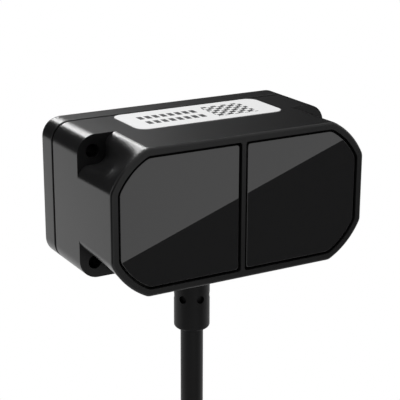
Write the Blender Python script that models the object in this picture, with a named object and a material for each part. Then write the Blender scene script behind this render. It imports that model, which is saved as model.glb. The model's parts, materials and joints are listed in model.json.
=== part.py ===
"""Lidar distance sensor: a box-shaped housing with two glossy windows, held by its rear face.

Metres, +Z up. The origin is the centre of the rear face, the sensor looks along -Y, and every
depth below is counted from the front face towards the rear.
"""

import math

import bmesh
import bpy
from mathutils import Matrix, Vector

# Body
BODY_WIDTH = 0.0696
BODY_HEIGHT = 0.0357
BODY_DEPTH = 0.0391
WALL = 0.0022
CORNER_RADIUS = 0.0048
FRONT_ROUNDING = 0.0006
REAR_ROUNDING = 0.0009
FLANGE_DEPTH = 0.0178
COVER_THICKNESS = 0.0064
CLEARANCE = 0.0003

# Corner notches: convex at the front, a square pocket for a screw head at the flange
NOTCH_SHARE = 0.2605
NOTCH_RADIUS = 0.0195
NOTCH_BLEND = 0.0026
POCKET_SIZE = 0.0073
POCKET_FLARE = 0.0018
POCKET_RADIUS = 0.0024
MOUNT_HOLE_INSET = 0.004
MOUNT_HOLE_RADIUS = 0.0017

# Windows and the front wall that carries them
BEZEL = 0.00175
DIVIDER_WIDTH = 0.0011
WINDOW_GROOVE = 0.0005
WINDOW_SINK = 0.00025
WINDOW_THICKNESS = 0.0015
WINDOW_CORNER = 0.0007
ADHESIVE_THICKNESS = 0.0005
LEDGE_WIDTH = 0.0022
LEDGE_THICKNESS = 0.0016

# Cavity and the cover's lip
CAVITY_ROUNDING = 0.0015
LIP_LENGTH = 0.003
LIP_COLLAR = 0.0008
LIP_WALL = 0.0027
SEAL_WIDTH = 0.0009
SEAL_HEIGHT = 0.0009
COVER_BACK = 0.0024
COVER_SCREW_X = 0.0098
COVER_SCREW_Z = 0.0033
COVER_SCREW_LENGTH = 0.011
COUNTERSINK_RADIUS = 0.0019

# Optics
LENS_STEPS = 6
BARREL_RADIUS = 0.0104
BARREL_WALL = 0.0012
LENS_SEAT_SHARE = 0.36
LENS_EDGE_SHARE = 0.16
LENS_SAG_SHARE = 0.13
LENS_LIP = 0.0013
RING_SHARE = 0.1
RING_WIDTH = 0.0014
PLATE_THICKNESS = 0.002
CONE_SHARE = 0.277
CONE_RADIUS = 0.006
BAFFLE_THICKNESS = 0.0012
BAFFLE_GAP = 0.0012
POST_RADIUS = 0.002
BOSS_RADIUS = 0.0026

# Screws
SCREW_RADIUS = 0.0008
SCREW_HEAD_RADIUS = 0.0018
SCREW_HEAD_HEIGHT = 0.0011
SCREW_CROWN_RADIUS = 0.0013
SCREW_CROWN_HEIGHT = 0.00045
SCREW_REACH = 0.0032
SLOT_REACH = 0.0011
SLOT_WIDTH = 0.0005
SLOT_DEPTH = 0.00055

# Boards
BOARD_THICKNESS = 0.0016
BOARD_MARGIN = 0.0007
BOARD_HOLE_INSET = 0.0021
SENSOR_BOARD_GAP = 0.00615
SPACER_SHARE = 0.159
BOARD_TO_LIP = 0.0024
SPACER_RADIUS = 0.0022
BOARD_NOTCH_WIDTH = 0.0132
BOARD_NOTCH_RISE = 0.0032

# Parts on the sensor boards
LASER_BASE_RADIUS = 0.0029
LASER_BASE_HEIGHT = 0.0007
LASER_CAP_RADIUS = 0.00235
LASER_CAP_ROUNDING = 0.0002
LASER_HEIGHT = 0.0028
DIODE_WIDTH = 0.0054
DIODE_HEIGHT = 0.0012
FILTER_STANDOFF = 0.0027
FILTER_THICKNESS = 0.001
SHIELD_WIDTH = 0.012
SHIELD_SHEET = 0.0004

# Parts on the main board. X is a share of the board's half width, and rise is from the header's top.
# Name, X, rise, width, height, thickness
CHIPS = (
    ("processor_chip", -0.06, 0.0052, 0.007, 0.007, 0.0013),
    ("timing_chip", 0.61, -0.0003, 0.006, 0.006, 0.0011),
    ("memory_chip", -0.64, -0.0008, 0.005, 0.006, 0.0011),
    ("power_inductor", 0.3, 0.0046, 0.0062, 0.0062, 0.0032),
)
CHIP_ROUNDING = 0.0002
CAPACITOR_X = -0.36
CAPACITOR_RISE = 0.0044
CAPACITOR_RADIUS = 0.0033
CAPACITOR_HEIGHT = 0.0054
CAPACITOR_FOOT = 0.0009
CAPACITOR_STEP = 0.00015
CAPACITOR_BEVEL = 0.0003
HEADER_WIDTH = 0.009
HEADER_LENGTH = 0.0042
HEADER_HEIGHT = 0.0036
HEADER_WALL = 0.0007
HEADER_RISE = 0.0031
PLUG_LENGTH = 0.0052
PLUG_OUTSIDE = 0.0033

# Strain relief and cable
RELIEF_RADIUS = 0.0047
RELIEF_LENGTH = 0.0214
RELIEF_ROUNDING = 0.0008
NECK_RADIUS = 0.0039
RELIEF_FLANGE_RADIUS = 0.0044
RELIEF_FLANGE_HEIGHT = 0.0018
DIMPLE_RADIUS = 0.00105
DIMPLE_DEPTH = 0.001
DIMPLE_DROP = 0.0126
DIMPLE_COUNT = 6
CABLE_DIAMETER = 0.006
FERRULE_HEIGHT = 0.001
FERRULE_WALL = 0.0008
WIRE_RADIUS = 0.00055
WIRE_PITCH = 0.0013
WIRE_BEND = 0.0009
WIRE_DEPTH = 0.0018
WIRE_COLOURS = (
    ("red", (0.5, 0.02, 0.02)),
    ("black", (0.02, 0.02, 0.02)),
    ("green", (0.02, 0.25, 0.06)),
    ("white", (0.7, 0.7, 0.7)),
)

# Folded length of cable below the sensor, with its tie and plug
HANK_DROP = 0.0342
LOOP_REACH = 0.0486
WAIST_HALF = 0.0034
HANK_LAYERS = 3
TIE_HEIGHT = 0.005
TIE_THICKNESS = 0.0012
TAIL_LENGTH = 0.009
GRIP_RADIUS = 0.0047
GRIP_LENGTH = 0.017
GRIP_WAIST_RADIUS = 0.0037
GRIP_SHOULDER = 0.0094
GRIP_TAPER = 0.0017
NUT_RADIUS = 0.0049
NUT_LENGTH = 0.0105
INSERT_RADIUS = 0.0031
INSERT_LENGTH = 0.008

# Label in its recess on the top face
LABEL_SIDE = 0.0143
LABEL_REAR = 0.0008
LABEL_X = 0.0011
LABEL_FRONT = 0.0156
LABEL_THICKNESS = 0.00025
LABEL_PROUD = 0.0001
LABEL_CORNER = 0.0028

# Mesh fineness
NOTCH_STEPS = 6
CORNER_STEPS = 12
SMALL_STEPS = 12
ROUND_STEPS = 24
HANK_STEPS = 64
MERGE = 1e-6

# Where the pieces follow each other, worked out from the sizes above
FRONT = -BODY_DEPTH
HALF_W = BODY_WIDTH / 2
HALF_H = BODY_HEIGHT / 2
POCKET_FLOOR = WINDOW_SINK + WINDOW_THICKNESS + ADHESIVE_THICKNESS + 2 * CLEARANCE
FRONT_WALL = POCKET_FLOOR + LEDGE_THICKNESS
COVER_FRONT = BODY_DEPTH - COVER_THICKNESS
HOUSING_REAR = COVER_FRONT - CLEARANCE
LIP_TIP = COVER_FRONT - LIP_LENGTH
NOTCH_LEG = BODY_HEIGHT * NOTCH_SHARE
CAVITY_CHAMFER = NOTCH_LEG + WALL
LABEL_WIDTH = BODY_WIDTH - 2 * LABEL_SIDE
LABEL_LENGTH = HOUSING_REAR - LABEL_REAR - LABEL_FRONT
OPTIC_X = (HALF_W - WALL) / 2
BARREL_FRONT = FRONT_WALL + CLEARANCE
STACK = LIP_TIP - BOARD_TO_LIP - BARREL_FRONT - PLATE_THICKNESS - 2 * BOARD_THICKNESS - 3 * CLEARANCE
LENS_SEAT = STACK * LENS_SEAT_SHARE
LENS_EDGE = STACK * LENS_EDGE_SHARE
LENS_SAG = STACK * LENS_SAG_SHARE
RING_HEIGHT = STACK * RING_SHARE
CONE_LENGTH = STACK * CONE_SHARE
SPACER_LENGTH = STACK * SPACER_SHARE
SHIELD_HEIGHT = SPACER_LENGTH - CLEARANCE
PLATE_DEPTH = BARREL_FRONT + STACK - CONE_LENGTH - SPACER_LENGTH
LENS_RADIUS = BARREL_RADIUS - BARREL_WALL
BORE_RADIUS = LENS_RADIUS + CLEARANCE
LENS_BOW = (LENS_RADIUS**2 + LENS_SAG**2) / (2 * LENS_SAG)
LENS_REAR = BARREL_FRONT + LENS_SEAT - CLEARANCE
PLATE_REAR = PLATE_DEPTH + PLATE_THICKNESS
CONE_REAR = PLATE_REAR + CONE_LENGTH
SENSOR_BOARD = CONE_REAR + CLEARANCE
SENSOR_BOARD_REAR = SENSOR_BOARD + BOARD_THICKNESS
SPACER_FRONT = SENSOR_BOARD_REAR + CLEARANCE
SPACER_REAR = SPACER_FRONT + SPACER_LENGTH
SPACER_FLOOR = SPACER_FRONT + 2 * CLEARANCE
MAIN_BOARD = SPACER_REAR + CLEARANCE
MAIN_BOARD_REAR = MAIN_BOARD + BOARD_THICKNESS
PARTS_ON_BOARD = MAIN_BOARD_REAR + CLEARANCE
HOLE_RADIUS = SCREW_RADIUS + CLEARANCE
SENSOR_BOARD_WIDTH = 2 * (OPTIC_X - SENSOR_BOARD_GAP)
SENSOR_BOARD_HEIGHT = BODY_HEIGHT - 2 * (WALL + BOARD_MARGIN)
SENSOR_BOARD_CORNER = CAVITY_CHAMFER + math.sqrt(2) * CLEARANCE - SENSOR_BOARD_GAP - BOARD_MARGIN
POST_Z = SENSOR_BOARD_HEIGHT / 2 - BOARD_HOLE_INSET
BOSS_Z = HALF_H - WALL - BOSS_RADIUS + CLEARANCE
BAFFLE_HEIGHT = 2 * (BOSS_Z - BOSS_RADIUS - BAFFLE_GAP)
BOARD_HALF = HALF_W - WALL - CLEARANCE
RELIEF_DEPTH = LIP_TIP - CLEARANCE - RELIEF_FLANGE_RADIUS
RELIEF_Y = FRONT + RELIEF_DEPTH
RELIEF_TOP = -HALF_H - CLEARANCE
RELIEF_END = RELIEF_TOP - RELIEF_LENGTH
CAVITY_FLOOR = -HALF_H + WALL
FLANGE_TOP = CAVITY_FLOOR + CLEARANCE + RELIEF_FLANGE_HEIGHT
CABLE_RADIUS = CABLE_DIAMETER / 2
FERRULE_BOTTOM = FLANGE_TOP + CLEARANCE
CABLE_START = FERRULE_BOTTOM + FERRULE_HEIGHT + CLEARANCE
BOARD_NOTCH_TOP = CABLE_START + BOARD_NOTCH_RISE
HEADER_MOUTH = BOARD_NOTCH_TOP + HEADER_RISE
HEADER_TOP = HEADER_MOUTH + HEADER_LENGTH
PLUG_BOTTOM = HEADER_MOUTH - PLUG_OUTSIDE
HANK_TOP = RELIEF_END - HANK_DROP
HANK_REACH = LOOP_REACH + CABLE_RADIUS
HANK_MIDDLE = HANK_TOP - HANK_REACH
HANK_REAR = RELIEF_DEPTH + CABLE_RADIUS
HANK_FRONT = HANK_REAR - (HANK_LAYERS + 1) * CABLE_DIAMETER
TAIL_Y = FRONT + HANK_FRONT + CABLE_RADIUS


def clear_scene():
    for old in list(bpy.data.objects):
        bpy.data.objects.remove(old)


def finish(name, colour, roughness, metallic=0.0):
    made = bpy.data.materials.new(name)
    made.use_nodes = True
    shader = made.node_tree.nodes["Principled BSDF"]
    shader.inputs["Base Color"].default_value = (*colour, 1)
    shader.inputs["Roughness"].default_value = roughness
    shader.inputs["Metallic"].default_value = metallic
    return made


def add(name, bm, material=None):
    """Turns a bmesh into a named object, with its faces pointing out."""
    bmesh.ops.remove_doubles(bm, verts=bm.verts, dist=MERGE)
    bmesh.ops.recalc_face_normals(bm, faces=bm.faces)
    mesh = bpy.data.meshes.new(name)
    bm.to_mesh(mesh)
    bm.free()
    made = bpy.data.objects.new(name, mesh)
    bpy.context.scene.collection.objects.link(made)
    if material:
        mesh.materials.append(material)
    mesh.shade_smooth()
    mesh.set_sharp_from_angle(angle=math.radians(35))
    return made


def combine(target, tools, operation):
    """Cuts the tools out of the target, or joins them to it."""
    for tool in tools:
        tool.hide_render = True
        tool.display_type = "WIRE"
        step = target.modifiers.new(tool.name, "BOOLEAN")
        step.operation = operation
        step.solver = "EXACT"
        step.object = tool
    return target


def cut(target, *tools):
    return combine(target, tools, "DIFFERENCE")


def join(target, *tools):
    return combine(target, tools, "UNION")


def together(name, *tools):
    """Several tools that don't meet, as one tool that acts in a single step."""
    bm = bmesh.new()
    for tool in tools:
        bm.from_mesh(tool.data)
        bpy.data.objects.remove(tool)
    return add(name, bm)


def rounded(points, radii, steps=4):
    """An open path with its inner corners rounded, each by its own radius."""
    path = [Vector(points[0])]
    for before, corner, after, radius in zip(points, points[1:], points[2:], radii):
        corner = Vector(corner)
        back = (Vector(before) - corner).normalized()
        ahead = (Vector(after) - corner).normalized()
        half = math.acos(max(-1.0, min(1.0, back.dot(ahead)))) / 2
        if radius <= 0 or half > math.radians(89):
            path.append(corner)
            continue
        reach = radius / math.tan(half)
        centre = corner + (back + ahead).normalized() * radius / math.sin(half)
        start = corner + back * reach - centre
        turn = start.angle_signed(corner + ahead * reach - centre)
        for k in range(steps + 1):
            path.append(centre + Matrix.Rotation(-turn * k / steps, 2) @ start)
    return path + [Vector(points[-1])]


def rounded_loop(points, radius, steps=4):
    """A closed outline with every corner rounded."""
    around = [points[-1], *points, points[0]]
    return rounded(around, [radius] * len(points), steps)[1:-1]


def spaced(path, count):
    """The same path as evenly spaced points."""
    lengths = [0.0]
    for a, b in zip(path, path[1:]):
        lengths.append(lengths[-1] + (b - a).length)
    found, k = [], 0
    for n in range(count):
        at = lengths[-1] * n / (count - 1)
        while k < len(path) - 2 and lengths[k + 1] < at:
            k += 1
        share = (at - lengths[k]) / max(lengths[k + 1] - lengths[k], 1e-9)
        found.append(path[k].lerp(path[k + 1], share))
    return found


def notch_arc(inset):
    """The convex corner seen on the front: distances from the side face and the top face."""
    centre = NOTCH_LEG / 2 + math.sqrt(NOTCH_RADIUS**2 / 2 - NOTCH_LEG**2 / 4)
    radius = NOTCH_RADIUS - inset
    end = centre - math.sqrt(radius**2 - (centre - inset) ** 2)
    first = math.atan2(end - centre, inset - centre)
    last = math.atan2(inset - centre, end - centre)
    sweep = (last - first) % (2 * math.pi)
    angles = [first + sweep * k / NOTCH_STEPS for k in range(NOTCH_STEPS + 1)]
    bow = [(centre + radius * math.cos(a), centre + radius * math.sin(a)) for a in angles]
    path = [(inset, end + NOTCH_LEG), *bow, (end + NOTCH_LEG, inset)]
    radii = [NOTCH_BLEND, *[0] * (NOTCH_STEPS - 1), NOTCH_BLEND]
    return spaced(rounded(path, radii)[1:-1], CORNER_STEPS)


def notch_pocket():
    """The square pocket that the corner becomes at the flange."""
    path = [
        (0, 2 * NOTCH_LEG),
        (0, NOTCH_LEG),
        (POCKET_FLARE, POCKET_SIZE),
        (POCKET_SIZE, POCKET_SIZE),
        (POCKET_SIZE, POCKET_FLARE),
        (NOTCH_LEG, 0),
        (2 * NOTCH_LEG, 0),
    ]
    radii = [NOTCH_BLEND, NOTCH_BLEND, POCKET_RADIUS, NOTCH_BLEND, NOTCH_BLEND]
    return spaced(rounded(path, radii)[1:-1], CORNER_STEPS)


def plain_corner(inset):
    """The flange's round corner, between the same two points as the pocket."""
    end = notch_pocket()[0].y
    path = [(inset, end), (inset, inset), (end, inset)]
    return spaced(rounded(path, [CORNER_RADIUS - inset], 8), CORNER_STEPS)


def four_corners(corner, half_w=HALF_W, half_h=HALF_H):
    """A closed outline, in X and Z, from one corner's distances to the two faces."""
    outline = []
    for sx, sz in ((1, 1), (-1, 1), (-1, -1), (1, -1)):
        points = corner if sx * sz > 0 else corner[::-1]
        outline += [(sx * (half_w - u), sz * (half_h - v)) for u, v in points]
    return outline


def cavity_outline(inset):
    """The inner wall's outline: a rectangle with its corners cut off for the notches."""
    side = WALL + inset
    leg = CAVITY_CHAMFER - inset * (2 - math.sqrt(2))
    path = [(side, side + 2 * leg), (side, side + leg), (side + leg, side), (side + 2 * leg, side)]
    return four_corners(rounded(path, [CAVITY_ROUNDING] * 2, 2)[1:-1])


def loft(name, sections, material=None):
    """A closed solid through outlines of equal length, each (depth from the front, outline)."""
    bm = bmesh.new()
    rings = []
    for depth, outline in sections:
        ring = [bm.verts.new((x, FRONT + depth, z)) for x, z in outline]
        rings.append(ring)
    for near, far in zip(rings, rings[1:]):
        for k in range(len(near)):
            bm.faces.new((near[k - 1], near[k], far[k], far[k - 1]))
    bm.faces.new(rings[0][::-1])
    bm.faces.new(rings[-1])
    return add(name, bm, material)


def prism(name, outline, start, end, material=None):
    return loft(name, [(start, outline), (end, outline)], material)


def turned_set(name, profile, places, axis, material=None, steps=ROUND_STEPS, closed=False):
    """The same turned solid at each place. The profile is (radius, distance along the axis)."""
    bm = bmesh.new()
    turn = Vector((0, 0, 1)).rotation_difference(Vector(axis)).to_matrix().to_4x4()
    for place in places:
        before = set(bm.verts)
        verts = [bm.verts.new((radius, 0, along)) for radius, along in profile]
        edges = [bm.edges.new(pair) for pair in zip(verts, verts[1:])]
        if closed:
            edges.append(bm.edges.new((verts[-1], verts[0])))
        bmesh.ops.spin(
            bm,
            geom=verts + edges,
            cent=(0, 0, 0),
            axis=(0, 0, 1),
            angle=2 * math.pi,
            steps=steps,
            use_merge=True,
        )
        fresh = [v for v in bm.verts if v not in before]
        bmesh.ops.transform(bm, matrix=Matrix.Translation(place) @ turn, verts=fresh)
    return add(name, bm, material)


def turned(name, profile, place, axis, material=None, steps=ROUND_STEPS, closed=False):
    return turned_set(name, profile, [place], axis, material, steps, closed)


def rod(name, place, axis, radius, start, end, material=None, steps=ROUND_STEPS):
    profile = [(0, start), (radius, start), (radius, end), (0, end)]
    return turned(name, profile, place, axis, material, steps)


def rods(name, places, radius, start, end, steps=16):
    """One rod along the depth at each place, as one tool for joining or cutting."""
    profile = [(0, start), (radius, start), (radius, end), (0, end)]
    return turned_set(name, profile, [at(x, 0, z) for x, z in places], (0, 1, 0), steps=steps)


def ring(name, place, axis, outer, inner, start, end, material=None):
    profile = [(inner, start), (outer, start), (outer, end), (inner, end)]
    return turned(name, profile, place, axis, material, closed=True)


def block(name, low, high, material=None, rounding=0.0):
    """A box between two corners, with its edges rounded."""
    bm = bmesh.new()
    bmesh.ops.create_cube(bm, size=1)
    low, high = Vector(low), Vector(high)
    bmesh.ops.scale(bm, vec=high - low, verts=bm.verts)
    bmesh.ops.translate(bm, vec=(low + high) / 2, verts=bm.verts)
    if rounding:
        bmesh.ops.bevel(
            bm, geom=bm.edges, offset=rounding, segments=2, profile=0.5, affect="EDGES"
        )
    return add(name, bm, material)


def at(x, depth, z):
    return Vector((x, FRONT + depth, z))


def mount_places():
    x, z = HALF_W - MOUNT_HOLE_INSET, HALF_H - MOUNT_HOLE_INSET
    return [(sx * x, sz * z) for sx in (-1, 1) for sz in (-1, 1)]


def cover_screw_places():
    x, z = HALF_W - COVER_SCREW_X, HALF_H - COVER_SCREW_Z
    return [(sx * x, sz * z) for sx in (-1, 1) for sz in (-1, 1)]


def boss_places():
    return [(0, BOSS_Z), (0, -BOSS_Z)]


def post_places():
    return [(sx * OPTIC_X, sz * POST_Z) for sx in (-1, 1) for sz in (-1, 1)]


def window_outline(side, inset, inner):
    """One window's outline: the bezel's corners on the outside, a straight divider inside."""
    corner = notch_arc(inset)
    outer = [(HALF_W - u, -(HALF_H - v)) for u, v in corner[::-1]]
    outer += [(HALF_W - u, HALF_H - v) for u, v in corner]
    top = HALF_H - inset
    bend = rounded(
        [outer[-1], (inner, top), (inner, -top), outer[0]], [WINDOW_CORNER] * 2, 3
    )
    outline = [(x, z) for x, z in outer + [tuple(p) for p in bend[1:-1]]]
    return outline if side > 0 else [(-x, z) for x, z in outline[::-1]]


def front_housing(material):
    arc, pocket, flange = notch_arc(0), notch_pocket(), plain_corner(0)
    ramp = [a.lerp(b, 0.5) for a, b in zip(arc, pocket)]
    soft = FRONT_ROUNDING * (1 - math.sqrt(0.5))
    body = loft(
        "front_housing",
        [
            (0, four_corners(notch_arc(FRONT_ROUNDING))),
            (soft, four_corners(notch_arc(soft))),
            (FRONT_ROUNDING, four_corners(arc)),
            ((FRONT_ROUNDING + FLANGE_DEPTH) / 2, four_corners(ramp)),
            (FLANGE_DEPTH, four_corners(pocket)),
            (FLANGE_DEPTH, four_corners(flange)),
            (HOUSING_REAR, four_corners(flange)),
        ],
        material,
    )
    thread_end = BODY_DEPTH - COVER_SCREW_LENGTH - 2 * CLEARANCE
    holes = together(
        "cut_housing_holes",
        rods("mount_holes", mount_places(), MOUNT_HOLE_RADIUS, FLANGE_DEPTH - WALL, BODY_DEPTH),
        rods("threads", cover_screw_places(), HOLE_RADIUS, thread_end, BODY_DEPTH, 12),
        rod("relief_hole", (0, RELIEF_Y, 0), (0, 0, 1), NECK_RADIUS + CLEARANCE,
            -HALF_H - WALL, CAVITY_FLOOR + WALL / 2),
        label_recess(),
    )
    half, opening = DIVIDER_WIDTH / 2, BEZEL + LEDGE_WIDTH
    cut(
        body,
        holes,
        prism("cut_cavity", cavity_outline(0), FRONT_WALL, BODY_DEPTH),
        window_tools("cut_pockets", BEZEL, half, -WALL, POCKET_FLOOR),
        window_tools("cut_openings", opening, half + LEDGE_WIDTH, POCKET_FLOOR / 2, FRONT_WALL + WALL),
    )
    boss_front, boss_rear = FRONT_WALL - LEDGE_THICKNESS / 2, PLATE_DEPTH - CLEARANCE
    boss_end = PLATE_DEPTH - SCREW_REACH - 2 * CLEARANCE
    join(body, rods("join_bosses", boss_places(), BOSS_RADIUS, boss_front, boss_rear, 20))
    cut(body, rods("cut_boss_threads", boss_places(), HOLE_RADIUS, boss_end, PLATE_REAR, 12))
    return body


def window_tools(name, inset, inner, start, end):
    """The same cut behind both windows."""
    left = prism("left", window_outline(-1, inset, inner), start, end)
    right = prism("right", window_outline(1, inset, inner), start, end)
    return together(name, left, right)


def label_outline(gap):
    half = LABEL_WIDTH / 2 + gap
    front, rear = LABEL_FRONT - gap, LABEL_FRONT + LABEL_LENGTH + gap
    corners = [
        (LABEL_X - half, front),
        (LABEL_X + half, front),
        (LABEL_X + half, rear),
        (LABEL_X - half, rear),
    ]
    return rounded_loop(corners, LABEL_CORNER + gap, 5)


def upright_prism(name, outline, low, high, material=None):
    """A prism along Z from an outline in X and depth."""
    bm = bmesh.new()
    face = bm.faces.new([bm.verts.new((x, FRONT + depth, low)) for x, depth in outline])
    grown = bmesh.ops.extrude_face_region(bm, geom=[face])["geom"]
    top = [v for v in grown if isinstance(v, bmesh.types.BMVert)]
    bmesh.ops.translate(bm, vec=(0, 0, high - low), verts=top)
    return add(name, bm, material)


def label_recess():
    floor = HALF_H + LABEL_PROUD - LABEL_THICKNESS - CLEARANCE
    return upright_prism("recess", label_outline(CLEARANCE), floor, HALF_H + WALL)


def rear_cover(material):
    soft = REAR_ROUNDING * (1 - math.sqrt(0.5))
    body = loft(
        "rear_cover",
        [
            (COVER_FRONT, four_corners(plain_corner(0))),
            (BODY_DEPTH - REAR_ROUNDING, four_corners(plain_corner(0))),
            (BODY_DEPTH - soft, four_corners(plain_corner(soft))),
            (BODY_DEPTH, four_corners(plain_corner(REAR_ROUNDING))),
        ],
        material,
    )
    outer = cavity_outline(CLEARANCE)
    groove = cavity_outline(CLEARANCE * 2 + SEAL_WIDTH)
    lip = loft(
        "join_lip",
        [
            (COVER_FRONT + COVER_BACK / 2, outer),
            (COVER_FRONT - LIP_COLLAR, outer),
            (COVER_FRONT - LIP_COLLAR, groove),
            (LIP_TIP + LIP_COLLAR, groove),
            (LIP_TIP + LIP_COLLAR, outer),
            (LIP_TIP, outer),
        ],
    )
    join(body, lip)
    hollow = prism(
        "cut_cover_hollow", cavity_outline(LIP_WALL), LIP_TIP - WALL, BODY_DEPTH - COVER_BACK
    )
    holes = rods("mounts", mount_places(), MOUNT_HOLE_RADIUS, COVER_FRONT - WALL, BODY_DEPTH + WALL)
    return cut(body, hollow, together("cut_cover_holes", holes, countersinks()))


def countersinks():
    gap = CLEARANCE
    wide = COUNTERSINK_RADIUS + gap
    sunk = BODY_DEPTH - (COUNTERSINK_RADIUS - SCREW_RADIUS)
    profile = [
        (0, COVER_FRONT - WALL),
        (HOLE_RADIUS, COVER_FRONT - WALL),
        (HOLE_RADIUS, sunk),
        (wide, BODY_DEPTH),
        (wide, BODY_DEPTH + WALL),
        (0, BODY_DEPTH + WALL),
    ]
    places = [at(x, 0, z) for x, z in cover_screw_places()]
    return turned_set("countersinks", profile, places, (0, 1, 0), steps=16)


def cover_screw(name, x, z, material):
    """A countersunk screw with a cross slot, its head level with the rear face."""
    head = BODY_DEPTH - CLEARANCE / 2
    profile = [
        (0, head - COVER_SCREW_LENGTH),
        (SCREW_RADIUS, head - COVER_SCREW_LENGTH),
        (SCREW_RADIUS, head - (COUNTERSINK_RADIUS - SCREW_RADIUS)),
        (COUNTERSINK_RADIUS, head),
        (0, head),
    ]
    body = turned(name, profile, at(x, 0, z), (0, 1, 0), material, steps=SMALL_STEPS)
    return cut(body, *cross_slot(name, x, head, z))


def cross_slot(name, x, top, z):
    """Two crossed tools that cut a slot into a screw head."""
    arms = []
    for word, across, up in (("wide", SLOT_REACH, SLOT_WIDTH / 2), ("tall", SLOT_WIDTH / 2, SLOT_REACH)):
        low = at(x - across, top - SLOT_DEPTH, z - up)
        high = at(x + across, top + SLOT_DEPTH, z + up)
        arms.append(block(f"cut_{name}_{word}", low, high))
    return arms


def pan_screw(name, x, z, tip, seat, material):
    """A pan-head screw from its tip to the depth that its head sits on."""
    top = seat + SCREW_HEAD_HEIGHT
    profile = [
        (0, tip),
        (SCREW_RADIUS, tip),
        (SCREW_RADIUS, seat),
        (SCREW_HEAD_RADIUS, seat),
        (SCREW_HEAD_RADIUS, top - SCREW_CROWN_HEIGHT),
        (SCREW_CROWN_RADIUS, top),
        (0, top),
    ]
    body = turned(name, profile, at(x, 0, z), (0, 1, 0), material, steps=SMALL_STEPS)
    return cut(body, *cross_slot(name, x, top, z))


def pan_screws(material):
    """The screws of the optics frame, and those of the main board on its spacers."""
    for k, (x, z) in enumerate(boss_places()):
        seat = PLATE_REAR + CLEARANCE
        pan_screw(f"optics_screw_{k + 1}", x, z, PLATE_DEPTH - SCREW_REACH, seat, material)
    for k, (x, z) in enumerate(post_places()):
        pan_screw(f"board_screw_{k + 1}", x, z, SPACER_FLOOR + CLEARANCE, PARTS_ON_BOARD, material)


def cover_seal(material):
    start = COVER_FRONT - LIP_COLLAR - CLEARANCE - SEAL_HEIGHT
    seal = prism("cover_seal", cavity_outline(CLEARANCE), start, start + SEAL_HEIGHT, material)
    inner = cavity_outline(CLEARANCE + SEAL_WIDTH)
    return cut(seal, prism("cut_seal", inner, start - WALL, start + SEAL_HEIGHT + WALL))


def windows(glass, adhesive):
    inner = DIVIDER_WIDTH / 2 + WINDOW_GROOVE
    inset = BEZEL + WINDOW_GROOVE
    pane_rear = WINDOW_SINK + WINDOW_THICKNESS
    frame_front = pane_rear + CLEARANCE
    for side, word in ((-1, "left"), (1, "right")):
        prism(f"window_{word}", window_outline(side, inset, inner), WINDOW_SINK, pane_rear, glass)
        frame = prism(
            f"window_adhesive_{word}",
            window_outline(side, inset, inner),
            frame_front,
            frame_front + ADHESIVE_THICKNESS,
            adhesive,
        )
        hole = window_outline(side, BEZEL + LEDGE_WIDTH, DIVIDER_WIDTH / 2 + LEDGE_WIDTH)
        cut(frame, prism(f"cut_adhesive_{word}", hole, 0, FRONT_WALL))


def optics_frame(material):
    """Two lens barrels on one plate, with cones behind them and posts for the boards."""
    plate = prism("optics_frame", cavity_outline(CLEARANCE), PLATE_DEPTH, PLATE_REAR, material)
    middle = (PLATE_DEPTH + PLATE_REAR) / 2
    cone = CONE_RADIUS - BARREL_WALL
    barrels = [at(side * OPTIC_X, 0, 0) for side in (-1, 1)]
    outside = [
        (0, BARREL_FRONT),
        (BARREL_RADIUS, BARREL_FRONT),
        (BARREL_RADIUS, PLATE_REAR),
        (CONE_RADIUS, CONE_REAR),
        (0, CONE_REAR),
    ]
    baffle = block(
        "join_baffle",
        at(-BAFFLE_THICKNESS / 2, BARREL_FRONT, -BAFFLE_HEIGHT / 2),
        at(BAFFLE_THICKNESS / 2, middle, BAFFLE_HEIGHT / 2),
    )
    posts = rods("join_posts", post_places(), POST_RADIUS, middle, CONE_REAR)
    join(plate, turned_set("join_barrels", outside, barrels, (0, 1, 0)), baffle, posts)
    inside = [
        (0, BARREL_FRONT - WALL),
        (BORE_RADIUS, BARREL_FRONT - WALL),
        (BORE_RADIUS, BARREL_FRONT + LENS_SEAT),
        (BORE_RADIUS - LENS_LIP, BARREL_FRONT + LENS_SEAT),
        (BORE_RADIUS - LENS_LIP, PLATE_DEPTH),
        (cone, CONE_REAR - BARREL_WALL),
        (cone, CONE_REAR + WALL),
        (0, CONE_REAR + WALL),
    ]
    thread_end = CONE_REAR - SCREW_REACH - CLEARANCE
    holes = together(
        "cut_frame_holes",
        turned_set("bores", inside, barrels, (0, 1, 0)),
        rods("screw_holes", boss_places(), HOLE_RADIUS, PLATE_DEPTH - WALL, PLATE_REAR + WALL, 12),
        rods("threads", post_places(), HOLE_RADIUS, thread_end, CONE_REAR + WALL, 12),
    )
    return cut(plate, holes)


def lens(name, side, material):
    """A plano-convex lens with its flat side on the shoulder of the barrel."""
    radii = [LENS_RADIUS * k / LENS_STEPS for k in range(LENS_STEPS + 1)]
    profile = [(radius, lens_front(radius)) for radius in radii]
    profile += [(LENS_RADIUS, LENS_REAR), (0, LENS_REAR)]
    return turned(name, profile, at(side * OPTIC_X, 0, 0), (0, 1, 0), material)


def lens_front(radius):
    """The depth of the lens's curved face at a distance from its axis."""
    return LENS_REAR - LENS_EDGE - LENS_SAG + LENS_BOW - math.sqrt(LENS_BOW**2 - radius**2)


def lens_ring(name, side, material):
    place = at(side * OPTIC_X, 0, 0)
    inner = LENS_RADIUS - RING_WIDTH
    rear = lens_front(inner) - CLEARANCE
    return ring(name, place, (0, 1, 0), LENS_RADIUS, inner, rear - RING_HEIGHT, rear, material)


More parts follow.
